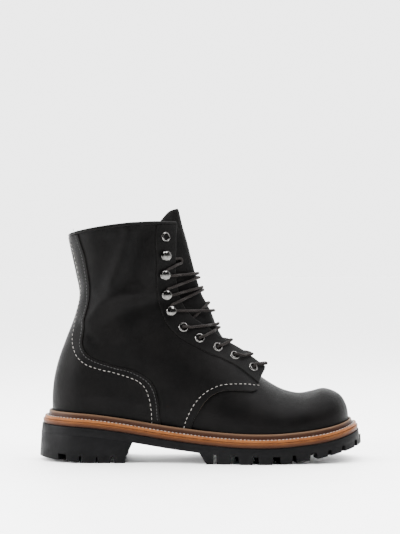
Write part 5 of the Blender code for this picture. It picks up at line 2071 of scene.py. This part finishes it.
@dataclass
class Stitching:
    """Rows of thread on the upper and round the welt."""

    upper: Upper
    finishes: Finishes
    proud: float = 0.04
    edge_margin: tuple[float, float] = (-1.9, -1.6)

    def unit(self, name: str, length: float, width: float, height: float) -> Piece:
        """One stitch along x, rounded and dipping into the leather at both ends.

        Args:
            name: Name of the unit.
            length: Its length.
            width: Its width.
            height: Its height.

        Returns:
            The unit.
        """
        stations, sides = 9, 8
        points = []
        for k in range(stations):
            share = 2 * k / (stations - 1) - 1
            girth = math.sqrt(max(0.0, 1 - 0.93 * share**4))
            sink = -0.55 * height * share**4
            for n in range(sides):
                angle = 2 * math.pi * n / sides
                points.append((share * length / 2, math.cos(angle) * width / 2 * girth,
                               math.sin(angle) * height / 2 * girth + sink))
        return make_unit(name, np.array(points), tube_faces(stations, sides))

    def row_on_upper(self, line: Array, side: Side, lift: float) -> tuple[Array, Array]:
        """Points and outward directions of a row drawn in the side view.

        Args:
            line: The drawn row.
            side: Which side.
            lift: Height over the last.

        Returns:
            The points and the directions.
        """
        rows, shares = self.upper.form.locate(*line.T)
        points = self.upper.form.raised(rows, shares, side, np.full(len(rows), lift))
        run = unit(np.gradient(points, axis=0))
        out = self.upper.form.normal(rows, shares, side)
        return points, unit(out - run * np.sum(out * run, axis=1, keepdims=True))

    def build(self, welt_row: tuple[Array, Array]) -> None:
        """Sews every row.

        Args:
            welt_row: Points and outward directions of the row round the welt.
        """
        repeater = Repeater("stitch_copies", along_path=True)
        quarter = self.upper.quarter_lift
        counter = quarter + self.upper.overlay_gap + self.upper.counter_thickness
        white = [self.row_on_upper(line, side, lift + self.proud) for side in Side
                 for line, lift in ((COUNTER_STITCH.line(240), counter), (QUARTER_STITCH.line(200), quarter))]
        edge_row = COUNTER_EDGE.line(300)[24:] + np.array(self.edge_margin)
        dark = [self.row_on_upper(edge_row, side, counter + self.proud) for side in Side]
        threads = self.finishes
        self.sew(repeater, "upper_stitches", white, threads.white_thread, 4.5, (2.8, 0.45, 0.42), False)
        self.sew(repeater, "counter_edge_stitches", dark, threads.black_thread, 3.2, (2.3, 0.6, 0.4), False)
        self.sew(repeater, "welt_stitches", [welt_row], threads.white_thread, 3.6, (2.5, 0.75, 0.65), True)

    def sew(self, repeater: Repeater, name: str, rows: Sequence[tuple[Array, Array]],
            thread: Material, pitch: float, size: tuple[float, float, float],
            closed: bool) -> None:
        """Sews rows into one piece.

        Args:
            repeater: The tree that copies the stitch.
            name: Name of the piece.
            rows: Points and outward directions of each row.
            thread: Material of the thread.
            pitch: Distance from stitch to stitch.
            size: Length, width and height of a stitch.
            closed: Whether each row comes back to its start.
        """
        points, out, edges, start = [], [], [], 0
        for row_points, row_out in rows:
            count = len(row_points)
            points.append(row_points)
            out.append(row_out)
            edges += [(start + k, start + k + 1) for k in range(count - 1)]
            if closed:
                edges.append((start + count - 1, start))
            start += count
        vectors = {"out": np.concatenate(out)}
        stitch = self.unit(name + "_unit", *size)
        piece = repeater.run(name, np.concatenate(points), edges, vectors, stitch, thread, pitch)
        piece.data.shade_smooth()
        seat_piece(piece, Slot.TAN_LEATHER if closed else Slot.BLACK_LEATHER)


# Sole


class PlanEdge:
    """One side of a plan outline, read by its x."""

    def __init__(self, outline: Array, side: Side) -> None:
        """Keeps the side's run with rising x.

        Args:
            outline: Closed outline: toe, lateral side, heel, medial side.
            side: Which side.
        """
        half = len(outline) // 2
        lateral = outline[:half + 1]
        medial = np.concatenate([outline[half:], outline[:1]])[::-1]
        self.run = (lateral if side is Side.LATERAL else medial)[::-1]

    def at(self, x: Array) -> Array:
        """y of the edge."""
        return np.interp(x, self.run[:, 0], self.run[:, 1])

    def points(self, x: Array) -> Array:
        """Plan points of the edge."""
        return np.stack([x, self.at(x)], axis=1)

    def normal(self, x: Array) -> Array:
        """Outward directions of the edge."""
        slope = (self.at(x + 0.4) - self.at(x - 0.4)) / 0.8
        return unit(np.stack([-slope, np.ones_like(slope)], axis=-1)) * np.sign(self.at(x))[..., None]


class SoleForm:
    """Plan outlines of the sole, grown from the foot of the last."""

    WELT_GAP = 0.6
    SIDE_MARGIN_SHARE = 0.78
    SEAM_STEP_X = (16.0, 3.0)
    COUNTER_STEP_X = (-12.0, -26.0)
    QUARTER_LIFT = 1.6
    COUNTER_BUILD = 1.8
    CELLS = 130
    FINE_STEPS = 1200
    TURN_SPREAD = 45
    TURN_WEIGHT = 40.0
    SMOOTHINGS = 4

    def __init__(self, form: LastForm) -> None:
        """Keeps the last."""
        self.form = form
        self.rings: dict[float, Array] = {}

    def contour(self, height: float, side: Side) -> Array:
        """Foot of the last at a height over the sole line, from the toe's tip round to the heel's tip.

        Args:
            height: The height.
            side: Which side.

        Returns:
            The points.
        """
        found = []
        shares = np.linspace(0, 1, 400)
        for row in np.concatenate([np.linspace(0, 2, 61), np.linspace(2.1, 21, 250)]):
            points = self.form.point(row, shares, side)
            level = points[:, 2] - self.form.seat(points[:, 0]) - self.form.SEAT_GAP
            if level[0] > height + 1e-6:
                break
            if level.max() < height:
                continue
            k = int(np.argmax(level >= height))
            if k == 0:
                found.append(points[0])
                continue
            share = (height - level[k - 1]) / (level[k] - level[k - 1])
            found.append(points[k - 1] + (points[k] - points[k - 1]) * share)
        found = np.array(found)
        tips = found[[0, -1]].copy()
        tips[0, 0] += 0.3
        tips[0, 1] = self.form.value("ridge", 0.0)
        tips[1] = (BACK.at("x", tips[1, 2]), 0.0, tips[1, 2])
        return np.concatenate([tips[:1], found, tips[1:]])

    def spaced(self, points: Array) -> Array:
        """Points along a line, closer together where it turns.

        Args:
            points: The line.

        Returns:
            The points in plan.
        """
        lengths = np.linalg.norm(np.diff(points[:, :2], axis=0), axis=1)
        points = points[np.concatenate([[True], lengths > 1e-3])]
        reach = running_length(points[:, :2])
        fine = np.linspace(0, reach[-1], self.FINE_STEPS)
        even = np.stack([np.interp(fine, reach, points[:, k]) for k in (0, 1)], axis=1)
        runs = np.diff(even, axis=0)
        turns = np.abs(np.diff(np.unwrap(np.arctan2(runs[:, 1], runs[:, 0]))))
        spread = np.ones(self.TURN_SPREAD) / self.TURN_SPREAD
        turns = np.convolve(np.concatenate([[0], turns]), spread, "same")
        measure = np.concatenate([[0], np.cumsum(np.linalg.norm(runs, axis=1) + self.TURN_WEIGHT * turns)])
        where = np.interp(np.linspace(0, measure[-1], self.CELLS + 1), measure, fine)
        return np.stack([np.interp(where, fine, even[:, k]) for k in (0, 1)], axis=1)

    def ring(self, height: float) -> Array:
        """Closed outline of the last's foot: toe, lateral side, heel, medial side.

        Args:
            height: Height over the sole line.

        Returns:
            The outline in plan.
        """
        if height not in self.rings:
            lateral = self.spaced(self.contour(height, Side.LATERAL))
            medial = self.spaced(self.contour(height, Side.MEDIAL))
            ring = np.concatenate([lateral, medial[1:-1][::-1]])
            for _ in range(self.SMOOTHINGS):
                ring = (np.roll(ring, 1, axis=0) + 2 * ring + np.roll(ring, -1, axis=0)) / 4
            self.rings[height] = ring
        return self.rings[height]

    def normals(self, outline: Array) -> Array:
        """Outward directions of a closed outline that runs toe, lateral, heel, medial."""
        run = np.roll(outline, -1, axis=0) - np.roll(outline, 1, axis=0)
        return unit(np.stack([run[:, 1], -run[:, 0]], axis=1)) * -1.0

    def layers_out(self, x: Array) -> Array:
        """How far the layers over the last stand out at the foot of the upper.

        Args:
            x: Places along it.

        Returns:
            The distances.
        """
        seam, counter = self.SEAM_STEP_X, self.COUNTER_STEP_X
        quarter = self.QUARTER_LIFT * ease((seam[0] - x) / (seam[0] - seam[1]))
        share = ease((counter[0] - x) / (counter[0] - counter[1]))
        return self.WELT_GAP + 1.05 * (quarter + self.COUNTER_BUILD * share)

    def grown(self, margin: float, height: float = 0.0) -> Array:
        """Outline moved out over the layers and by a margin that is less along the sides.

        Args:
            margin: The margin at toe and heel.
            height: Height over the sole line.

        Returns:
            The outline.
        """
        outline = self.ring(height)
        normal = self.normals(outline)
        share = self.SIDE_MARGIN_SHARE + (1 - self.SIDE_MARGIN_SHARE) * np.abs(normal[:, 0])
        return outline + normal * (self.layers_out(outline[:, 0]) + margin * share)[:, None]

    def edges(self, margin: float) -> dict[Side, PlanEdge]:
        """Both sides of a grown outline."""
        outline = self.grown(margin)
        return {side: PlanEdge(outline, side) for side in Side}


def with_height(outline: Array, height: Array) -> Array:
    """Plan points with heights."""
    return np.column_stack([outline, np.broadcast_to(height, len(outline))])


def cap_faces(start: int, count: int) -> Faces:
    """Quads across a closed loop, from one side to the other.

    Args:
        start: Index of its first point.
        count: Points in the loop.

    Returns:
        The loops of corners.
    """
    faces = []
    for k in range(count // 2):
        loop = [k, k + 1, (count - k - 1) % count, (count - k) % count]
        faces.append([start + v for n, v in enumerate(loop) if v != loop[n - 1]])
    return faces


def closed_faces(loops: int, count: int) -> Faces:
    """Quads from loop to loop, with quads across the first and the last."""
    return loop_faces(loops, count) + cap_faces(0, count) + cap_faces((loops - 1) * count, count)


def tread(x: Array) -> Array:
    """Height of the tread's plane over the floor."""
    return np.maximum(SOLE.at("tread", x), 0.0)


@dataclass
class SoleUnit:
    """Welt, midsole, insole, rubber outsole and heel."""

    plan: SoleForm
    finishes: Finishes
    midsole_margin: float = 8.0
    rubber_top_margin: float = 8.8
    rubber_tread_margin: float = 11.2
    midsole_thickness: float = 4.5
    outsole_base: float = 7.4
    seat_gap: float = 0.3
    lip_height: float = 8.0
    insole_inset: float = 3.2
    insole_thickness: float = 3.0
    insole_cup: float = 1.6
    heel_breast_top: float = -63.0
    heel_breast_tread: float = -72.0
    heel_lug_height: float = 6.0
    forefoot_back_top: float = -1.5
    lug_depth: float = 19.0
    lug_draft: float = 0.8
    lug_sink: float = 1.0
    toe_lug_start: float = 148.2
    heel_back_lug_end: float = -132.8
    rubber_round: float = 0.55
    rubber_flare: float = 0.9
    bevel_angle: float = 32.0
    crisp_angle: float = 35.0
    lug_root_margin: float = 0.6
    lug_cells: int = 9
    tip_turn: float = 80.0
    tip_share: float = 0.985
    tip_lug_depth: float = 9.0
    tip_lug_narrow: float = 0.55
    bar_centre: float = 2.0
    flange_out: float = 3.4
    flange_run: float = 2.0
    stitch_line: tuple[float, float, float] = (0.2, 4.2, 3.2)

    FOREFOOT_LUGS = ((6.0, 12.2), (15.5, 28.0), (36.0, 48.5), (54.5, 67.0), (75.0, 85.2), (90.0, 102.0),
                     (109.2, 118.8), (122.8, 132.2), (135.8, 145.4))
    HEEL_LUGS = ((-124.8, -113.6), (-110.4, -97.4), (-95.2, -83.6), (-80.0, -70.0))
    FOREFOOT_BARS = ((17.0, 27.0, 25.0), (34.0, 45.0, 28.0), (52.0, 63.0, 29.0), (70.0, 81.0, 27.0),
                     (88.0, 98.0, 23.0), (105.0, 114.0, 17.0), (120.0, 128.0, 9.0))
    HEEL_BARS = ((-98.0, -89.0, 10.0), (-112.0, -103.0, 8.0))
    # Columns: share, out, height, lip colour, and painted shade on the flange's underside, in the groove at
    # the lip's foot, on the lower lip and behind the lip.
    WELT_PROFILE = Table("share out height lip burnt", [
        (0, 0.0, 0.15, 0, 0.6), (0, 6.1, 0.15, 0, 0.5), (0, 6.5, 0.45, 0, 0.3), (0, 6.6, 1.2, 0, 0),
        (0, 6.55, 2.3, 0, 0), (0, 6.25, 2.9, 0, 0), (0, 5.7, 3.15, 0.1, 0), (0.1, 4.6, 3.2, 0.2, 0.3),
        (0.2, 3.95, 3.0, 0.5, 0.9), (0.3, 3.5, 3.0, 0.7, 1), (0.5, 3.0, 3.5, 0.9, 1), (0.7, 2.6, 4.8, 1, 1),
        (0.9, 2.35, 6.2, 1, 0.9), (1, 2.1, 7.4, 0.9, 0.35), (1, 1.7, 8.05, 1, 0), (1, 1.1, 8.3, 1, 0),
        (1, 0.5, 8.2, 0.9, 0.2), (1, 0.12, 7.7, 1, 0.6)
    ])

    def rubber_top(self, x: Array) -> Array:
        """Height of the rubber's top."""
        return self.plan.form.seat(x) - self.midsole_thickness - self.seat_gap

    def rubber_under(self, x: Array) -> Array:
        """Height of the rubber between its lugs."""
        return self.rubber_top(x) - self.outsole_base

    def heel_under(self, x: Array) -> Array:
        """Height of the heel between its lugs."""
        return tread(x) + self.heel_lug_height

    def welt_loop(self, share: float, out: float, height: float) -> Array:
        """A line round the welt.

        Args:
            share: 0 at the foot of the upper, 1 at the lip's height.
            out: Distance out from the layers of the upper.
            height: Height over the midsole.

        Returns:
            Points of the line.
        """
        foot, lip = self.plan.ring(0.0), self.plan.ring(self.lip_height)
        outline = foot + (lip - foot) * share
        normal = self.plan.normals(outline)
        thin = self.plan.SIDE_MARGIN_SHARE
        side_share = thin + (1 - thin) * np.abs(normal[:, 0])
        flange = float(ease((out - self.flange_out) / self.flange_run))
        reach = self.plan.layers_out(outline[:, 0]) + out * (1 + (side_share - 1) * flange)
        moved = outline + normal * reach[:, None]
        return with_height(moved, self.plan.form.seat(moved[:, 0]) + height)

    def build_welt(self) -> None:
        """Makes the welt with its raised lip."""
        profile = self.WELT_PROFILE
        loops = [self.welt_loop(*values[:3]) for values in profile.values]
        count = len(loops[0])
        # Lip colour and painted shade for each loop of the profile.
        values = {name: np.repeat(profile.column(name), count) for name in ("lip", "burnt")}
        faces = loop_faces(len(loops), count, closed=True)
        piece = make_piece("welt_strip", np.concatenate(loops), faces, [self.finishes.welt], values=values)
        seat_piece(piece, Slot.TAN_LEATHER, "welt")

    def stitch_row(self) -> tuple[Array, Array]:
        """Points and outward directions of the stitches at the foot of the lip.

        Returns:
            The points and the directions.
        """
        points = self.welt_loop(*self.stitch_line)
        run = unit(np.roll(points, -1, axis=0) - np.roll(points, 1, axis=0))
        up = np.array((0.0, 0.0, 1.0)) - run * run[:, 2:]
        return points, unit(up)

    def build_midsole(self) -> None:
        """Makes the midsole with soft edges and painted shade towards their bottom."""
        margin, thick = self.midsole_margin, self.midsole_thickness
        loops, burnt = [], []
        # The third number of each step is painted shade, darker towards the bottom of the edge.
        for out, down, dark in ((4.0, 0.0, 0.3), (0.5, 0.0, 0.3), (0.15, 0.15, 0.3), (0.0, 0.6, 0.5),
                                (0.0, 1.6, 0.75), (0.0, 3.0, 0.9), (0.1, 4.0, 1.0), (0.4, 4.35, 1.0),
                                (1.0, thick, 1.0), (4.0, thick, 1.0)):
            outline = self.plan.grown(margin - out)
            loops.append(with_height(outline, self.plan.form.seat(outline[:, 0]) - down))
            burnt.append(dark)
        count = len(loops[0])
        values = {"lip": np.zeros(count * len(loops)), "burnt": np.repeat(burnt, count)}
        piece = make_piece("midsole_leather", np.concatenate(loops), closed_faces(len(loops), count),
                           [self.finishes.welt], values=values)
        seat_piece(piece, Slot.TAN_LEATHER, "midsole")

    def build_insole(self) -> None:
        """Makes the insole, cupped a little at its rim."""
        ring = self.plan.ring(0.0)
        outline = ring - self.plan.normals(ring) * self.insole_inset
        half = len(outline) // 2
        across = np.linspace(0, 1, 21)
        near, far = outline[1:half, None], outline[:half:-1, None]
        plan_rows = near + (far - near) * across[:, None]
        base = self.plan.form.seat(plan_rows[..., 0]) + self.seat_gap
        cup = self.insole_cup * np.abs(2 * across - 1) ** 5
        outer = np.concatenate([plan_rows, (base + self.insole_thickness + cup)[..., None]], axis=2)
        inner = np.concatenate([plan_rows, base[..., None]], axis=2)
        edge = np.broadcast_to(np.clip(np.abs(2 * across - 1) - 0.9, 0, 1) * 5, base.shape)
        wall = Wall()
        wall.add(outer, inner, edge, False)
        piece = wall.piece("insole_board", [self.finishes.insole, self.finishes.insole])
        seat_piece(piece, Slot.INSOLE_LEATHER, "insole")

    def block(self, name: str, low: Array, high: Array) -> Piece:
        """A block of rubber between two loops of points.

        Args:
            name: Name of the block.
            low: One loop.
            high: The other loop.

        Returns:
            The block.
        """
        count = len(low)
        faces = loop_faces(2, count) + [list(range(count)), list(range(count, 2 * count))]
        return make_piece(name, np.concatenate([low, high]), faces, [self.finishes.rubber])

    def lug(self, root: Array, crown: Array, under: Height) -> Piece:
        """A lug from a plan polygon in the sole down to another one on the tread."""
        return self.block("lug", with_height(root, under(root[:, 0]) + self.lug_sink),
                          with_height(crown, tread(crown[:, 0])))

    def edge_lug(self, start: float, end: float, side: Side, wide: dict[Side, PlanEdge],
                 narrow: dict[Side, PlanEdge], under: Height) -> Piece:
        """A lug along the sole's edge between two stations.

        Args:
            start: Its rear end.
            end: Its front end.
            side: Which side.
            wide: Edges on the tread.
            narrow: Edges at the roots.
            under: Height of the rubber between lugs.

        Returns:
            The lug.
        """
        x = np.linspace(start, end, self.lug_cells)
        first = self.forefoot_back_top if 0 < start < 10 else start
        root_x = np.linspace(min(start - self.lug_draft, first), end + self.lug_draft, self.lug_cells)
        outer_tread, outer_root = wide[side].points(x), narrow[side].points(root_x)
        inward = -wide[side].normal(np.array([start, end]))
        inner = outer_tread[[0, -1]] + inward * self.lug_depth
        inner[:, 0] = np.clip(inner[:, 0], start - 8, end)
        crown_plan = np.concatenate([outer_tread, inner[::-1]])
        root_inner = inner + (inner - crown_plan.mean(axis=0)) * 0.06
        root_inner[:, 0] += root_x[[0, -1]] - x[[0, -1]]
        root_plan = np.concatenate([outer_root, root_inner[::-1]])
        return self.lug(root_plan, crown_plan, under)

    def bar_lug(self, start: float, end: float, half_width: float, centre: float,
                under: Height) -> Piece:
        """A lug across the middle of the tread.

        Args:
            start: Its rear end.
            end: Its front end.
            half_width: Half its width.
            centre: y of its middle.
            under: Height of the rubber between lugs.

        Returns:
            The lug.
        """
        low, high = centre - half_width, centre + half_width
        plan = np.array([(start, low), (end, low), (end, high), (start, high)], float)
        return self.lug(plan + np.sign(plan - plan.mean(axis=0)) * self.lug_draft, plan, under)

    def end_lug(self, x_edge: float, x_tip: float, wide: dict[Side, PlanEdge], narrow: dict[Side, PlanEdge],
                under: Height) -> Piece:
        """A lug that wraps round the toe's or the heel's tip.

        Args:
            x_edge: Where it starts.
            x_tip: The tip.
            wide: Edges on the tread.
            narrow: Edges at the roots.
            under: Height of the rubber between lugs.

        Returns:
            The lug.
        """
        turn = math.radians(self.tip_turn)
        reach = np.sin(np.linspace(0, 1, 12) * turn) / math.sin(turn) * self.tip_share
        x = x_edge + (x_tip - x_edge) * reach
        inner_x = x_edge + math.copysign(self.tip_lug_depth, x_edge - x_tip)
        plans = []
        for edges in (narrow, wide):
            lateral, medial = edges[Side.LATERAL].points(x), edges[Side.MEDIAL].points(x)[::-1]
            narrowed = self.tip_lug_narrow
            back = np.array([(inner_x, medial[-1, 1] * narrowed), (inner_x, lateral[0, 1] * narrowed)])
            plans.append(np.concatenate([lateral, medial, back]))
        root_plan, crown_plan = plans
        return self.lug(root_plan, crown_plan, under)

    def united(self, body: Piece, blocks: Sequence[Piece]) -> Piece:
        """Joins the lugs to a body and softens the moulded edges.

        Args:
            body: The sole or heel.
            blocks: The lugs.

        Returns:
            The body.
        """
        for block in blocks:
            joint = body.modifiers.new(block.name, "BOOLEAN")
            joint.operation, joint.solver, joint.object = "UNION", "EXACT", block
        baked(body)
        for block in blocks:
            bpy.data.objects.remove(block)
        soft = body.modifiers.new("soft_edges", "BEVEL")
        soft.width = self.rubber_round * MILLIMETRE
        soft.segments = 2
        soft.limit_method = "ANGLE"
        soft.angle_limit = math.radians(self.bevel_angle)
        baked(body)
        body.data.shade_smooth()
        body.data.set_sharp_from_angle(angle=math.radians(self.crisp_angle))
        return body

    def build_outsole(self) -> None:
        """Makes the outsole with its forefoot lugs."""
        upper_edge = self.plan.grown(self.rubber_top_margin)
        lower_edge = self.plan.grown(self.rubber_top_margin + self.rubber_flare)
        loops = [with_height(lower_edge, self.rubber_under(lower_edge[:, 0])),
                 with_height(upper_edge, self.rubber_top(upper_edge[:, 0]))]
        body = make_piece("outsole_rubber", np.concatenate(loops), closed_faces(2, len(upper_edge)),
                          [self.finishes.rubber])
        wide = self.plan.edges(self.rubber_tread_margin)
        narrow = self.plan.edges(self.rubber_top_margin + self.lug_root_margin)
        blocks = [self.edge_lug(*ends, side, wide, narrow, self.rubber_under)
                  for ends in self.FOREFOOT_LUGS for side in Side]
        tip = float(wide[Side.LATERAL].run[-1, 0])
        blocks.append(self.end_lug(self.toe_lug_start, tip, wide, narrow, self.rubber_under))
        blocks += [self.bar_lug(*bar, self.bar_centre, self.rubber_under) for bar in self.FOREFOOT_BARS]
        seat_piece(self.united(body, blocks), Slot.BLACK_RUBBER, "outsole")

    def heel_loop(self, margin: float, breast: float) -> Array:
        """Plan outline of the heel behind its breast.

        Args:
            margin: How far it stands out from the upper.
            breast: x of the breast.

        Returns:
            The outline.
        """
        outline = self.plan.grown(margin)
        edges = self.plan.edges(margin)
        tip = float(outline[:, 0].min())
        x = breast + (tip - breast) * np.sin(np.linspace(0, math.pi / 2, 40))
        return np.concatenate([edges[Side.LATERAL].points(x), edges[Side.MEDIAL].points(x)[::-1][1:]])

    def build_heel(self) -> None:
        """Makes the heel block with its lugs."""
        top_plan = self.heel_loop(self.rubber_top_margin + 1.0, self.heel_breast_top)
        low_plan = self.heel_loop(self.rubber_tread_margin - 0.4, self.heel_breast_tread + 3.0)
        body = self.block("heel_rubber", with_height(low_plan, self.heel_under(low_plan[:, 0])),
                          with_height(top_plan, self.rubber_under(top_plan[:, 0])))
        wide = self.plan.edges(self.rubber_tread_margin)
        narrow = self.plan.edges(self.rubber_tread_margin - self.rubber_flare)
        blocks = [self.edge_lug(*ends, side, wide, narrow, self.heel_under)
                  for ends in self.HEEL_LUGS for side in Side]
        tip = float(wide[Side.LATERAL].run[0, 0])
        blocks.append(self.end_lug(self.heel_back_lug_end, tip, wide, narrow, self.heel_under))
        blocks += [self.bar_lug(*bar, 0.0, self.heel_under) for bar in self.HEEL_BARS]
        seat_piece(self.united(body, blocks), Slot.BLACK_RUBBER, "heel")

    def build(self) -> None:
        """Makes every layer of the sole."""
        self.build_welt()
        self.build_midsole()
        self.build_insole()
        self.build_outsole()
        self.build_heel()


# Studio


@dataclass
class Studio:
    """Pale floor, soft lights and the camera at the photograph's angle."""

    distance: float = 1.6
    eye_height: float = 0.183
    picture_width: float = 0.383
    picture_height_share: float = 534 / 400
    floor_size: float = 60.0
    front_glow: float = 0.05
    back_glow: float = 13.0
    backdrop_glow: float = 3.95
    gloss_share: float = 0.3
    glow_depths: tuple[float, float] = (-0.25, 0.9)
    white: Colour = (1.0, 1.0, 1.0, 1)

    def build_camera(self) -> None:
        """Sets the camera level, square to the lateral side."""
        camera = add_object("camera", bpy.data.cameras.new("camera"))
        half = self.picture_width * self.picture_height_share / 2 / self.distance
        camera.data.sensor_fit = "AUTO"
        camera.data.sensor_width = 36.0
        camera.data.lens = 18.0 / half
        camera.location = (-FRAME_CENTRE[0] * MILLIMETRE, -self.distance, self.eye_height)
        camera.rotation_euler = (math.radians(90), 0, 0)
        bpy.context.scene.camera = camera

    def build_floor(self) -> None:
        """Lays the floor."""
        half = self.floor_size / 2
        corners = [(x * half, y * half, 0) for x, y in ((-1, -1), (1, -1), (1, 1), (-1, 1))]
        mesh = bpy.data.meshes.new("floor")
        mesh.from_pydata(corners, [], [(0, 1, 2, 3)])
        mesh.materials.append(FloorFinish("pale_floor").build())
        floor = add_object("floor", mesh)
        floor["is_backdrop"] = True

    def build_light(self, name: str, place: tuple[float, float, float], aim: tuple[float, float, float],
                    size: tuple[float, float], power: float) -> None:
        """Hangs one soft box.

        Args:
            name: Name of the light.
            place: Where it hangs.
            aim: What it faces.
            size: Width and height.
            power: Watts.
        """
        data = bpy.data.lights.new(name, "AREA")
        data.shape = "RECTANGLE"
        data.size, data.size_y = size
        data.energy = power
        light = add_object(name, data)
        light.location = place
        run = np.array(aim) - np.array(place)
        yaw = math.atan2(run[1], run[0]) - math.pi / 2
        pitch = math.atan2(run[2], math.hypot(run[0], run[1])) + math.pi / 2
        light.rotation_euler = (pitch, 0, yaw)

    def build_world(self) -> None:
        """Surrounds the scene with pale light that is dimmer on the camera's side."""
        world = bpy.data.worlds.new("studio")
        world.use_nodes = True
        nodes = NodeTree(world.node_tree)
        seen = nodes.add("ShaderNodeLightPath").outputs
        place = nodes.add("ShaderNodeTexCoord").outputs["Generated"]
        depth = nodes.add("ShaderNodeSeparateXYZ", {"Vector": place}).outputs["Y"]
        glow = nodes.span(depth, *self.glow_depths, self.front_glow, self.back_glow)
        gloss = nodes.span(seen["Is Glossy Ray"], 0, 1, 1.0, self.gloss_share)
        around = nodes.tree.nodes["Background"]
        nodes.put(around.inputs["Color"], self.white)
        nodes.put(around.inputs["Strength"], nodes.math("MULTIPLY", glow, gloss))
        backdrop = nodes.add("ShaderNodeBackground", {"Color": self.white, "Strength": self.backdrop_glow})
        either = nodes.add("ShaderNodeMixShader")
        nodes.put_all(either, {0: seen["Is Camera Ray"], 1: around.outputs[0], 2: backdrop.outputs[0]})
        nodes.put(nodes.tree.nodes["World Output"].inputs["Surface"], either.outputs[0])
        bpy.context.scene.world = world

    def build(self) -> None:
        """Sets up the studio."""
        self.build_world()
        self.build_floor()
        self.build_light("top_box", (0.0, 0.1, 1.5), (0.0, 0.0, 0.1), (2.2, 1.2), 60.0)
        self.build_light("toe_box", (0.8, -0.55, 1.15), (0.1, 0.0, 0.07), (0.35, 0.6), 20.0)
        self.build_light("heel_box", (-1.4, -0.5, 0.7), (-0.08, 0.0, 0.1), (0.5, 0.9), 55.0)
        self.build_camera()


def write_sizes() -> None:
    """Measures the solids' box and the dressed boot's box, and keeps neither."""
    boxes = {"cad": cad_box, "visual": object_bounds()}
    plain = {name: [list(corner) for corner in box] for name, box in boxes.items()}


def main() -> None:
    """Builds the studio, then every piece of the boot."""
    line = "%(relativeCreated)6d ms %(name)s %(message)s"
    logging.basicConfig(level=logging.INFO, format=line, stream=sys.stdout)
    Studio().build()
    form = LastForm()
    finishes = Finishes()
    upper = Upper(form, finishes)
    upper.build()
    tongue = Tongue(form, finishes)
    tongue.build()
    sole = SoleUnit(SoleForm(form), finishes)
    sole.build()
    Fittings(upper, finishes).build()
    Lacing(upper, tongue, finishes).build()
    Stitching(upper, finishes).build(sole.stitch_row())
    write_sizes()


if __name__ == "__main__":
    main()
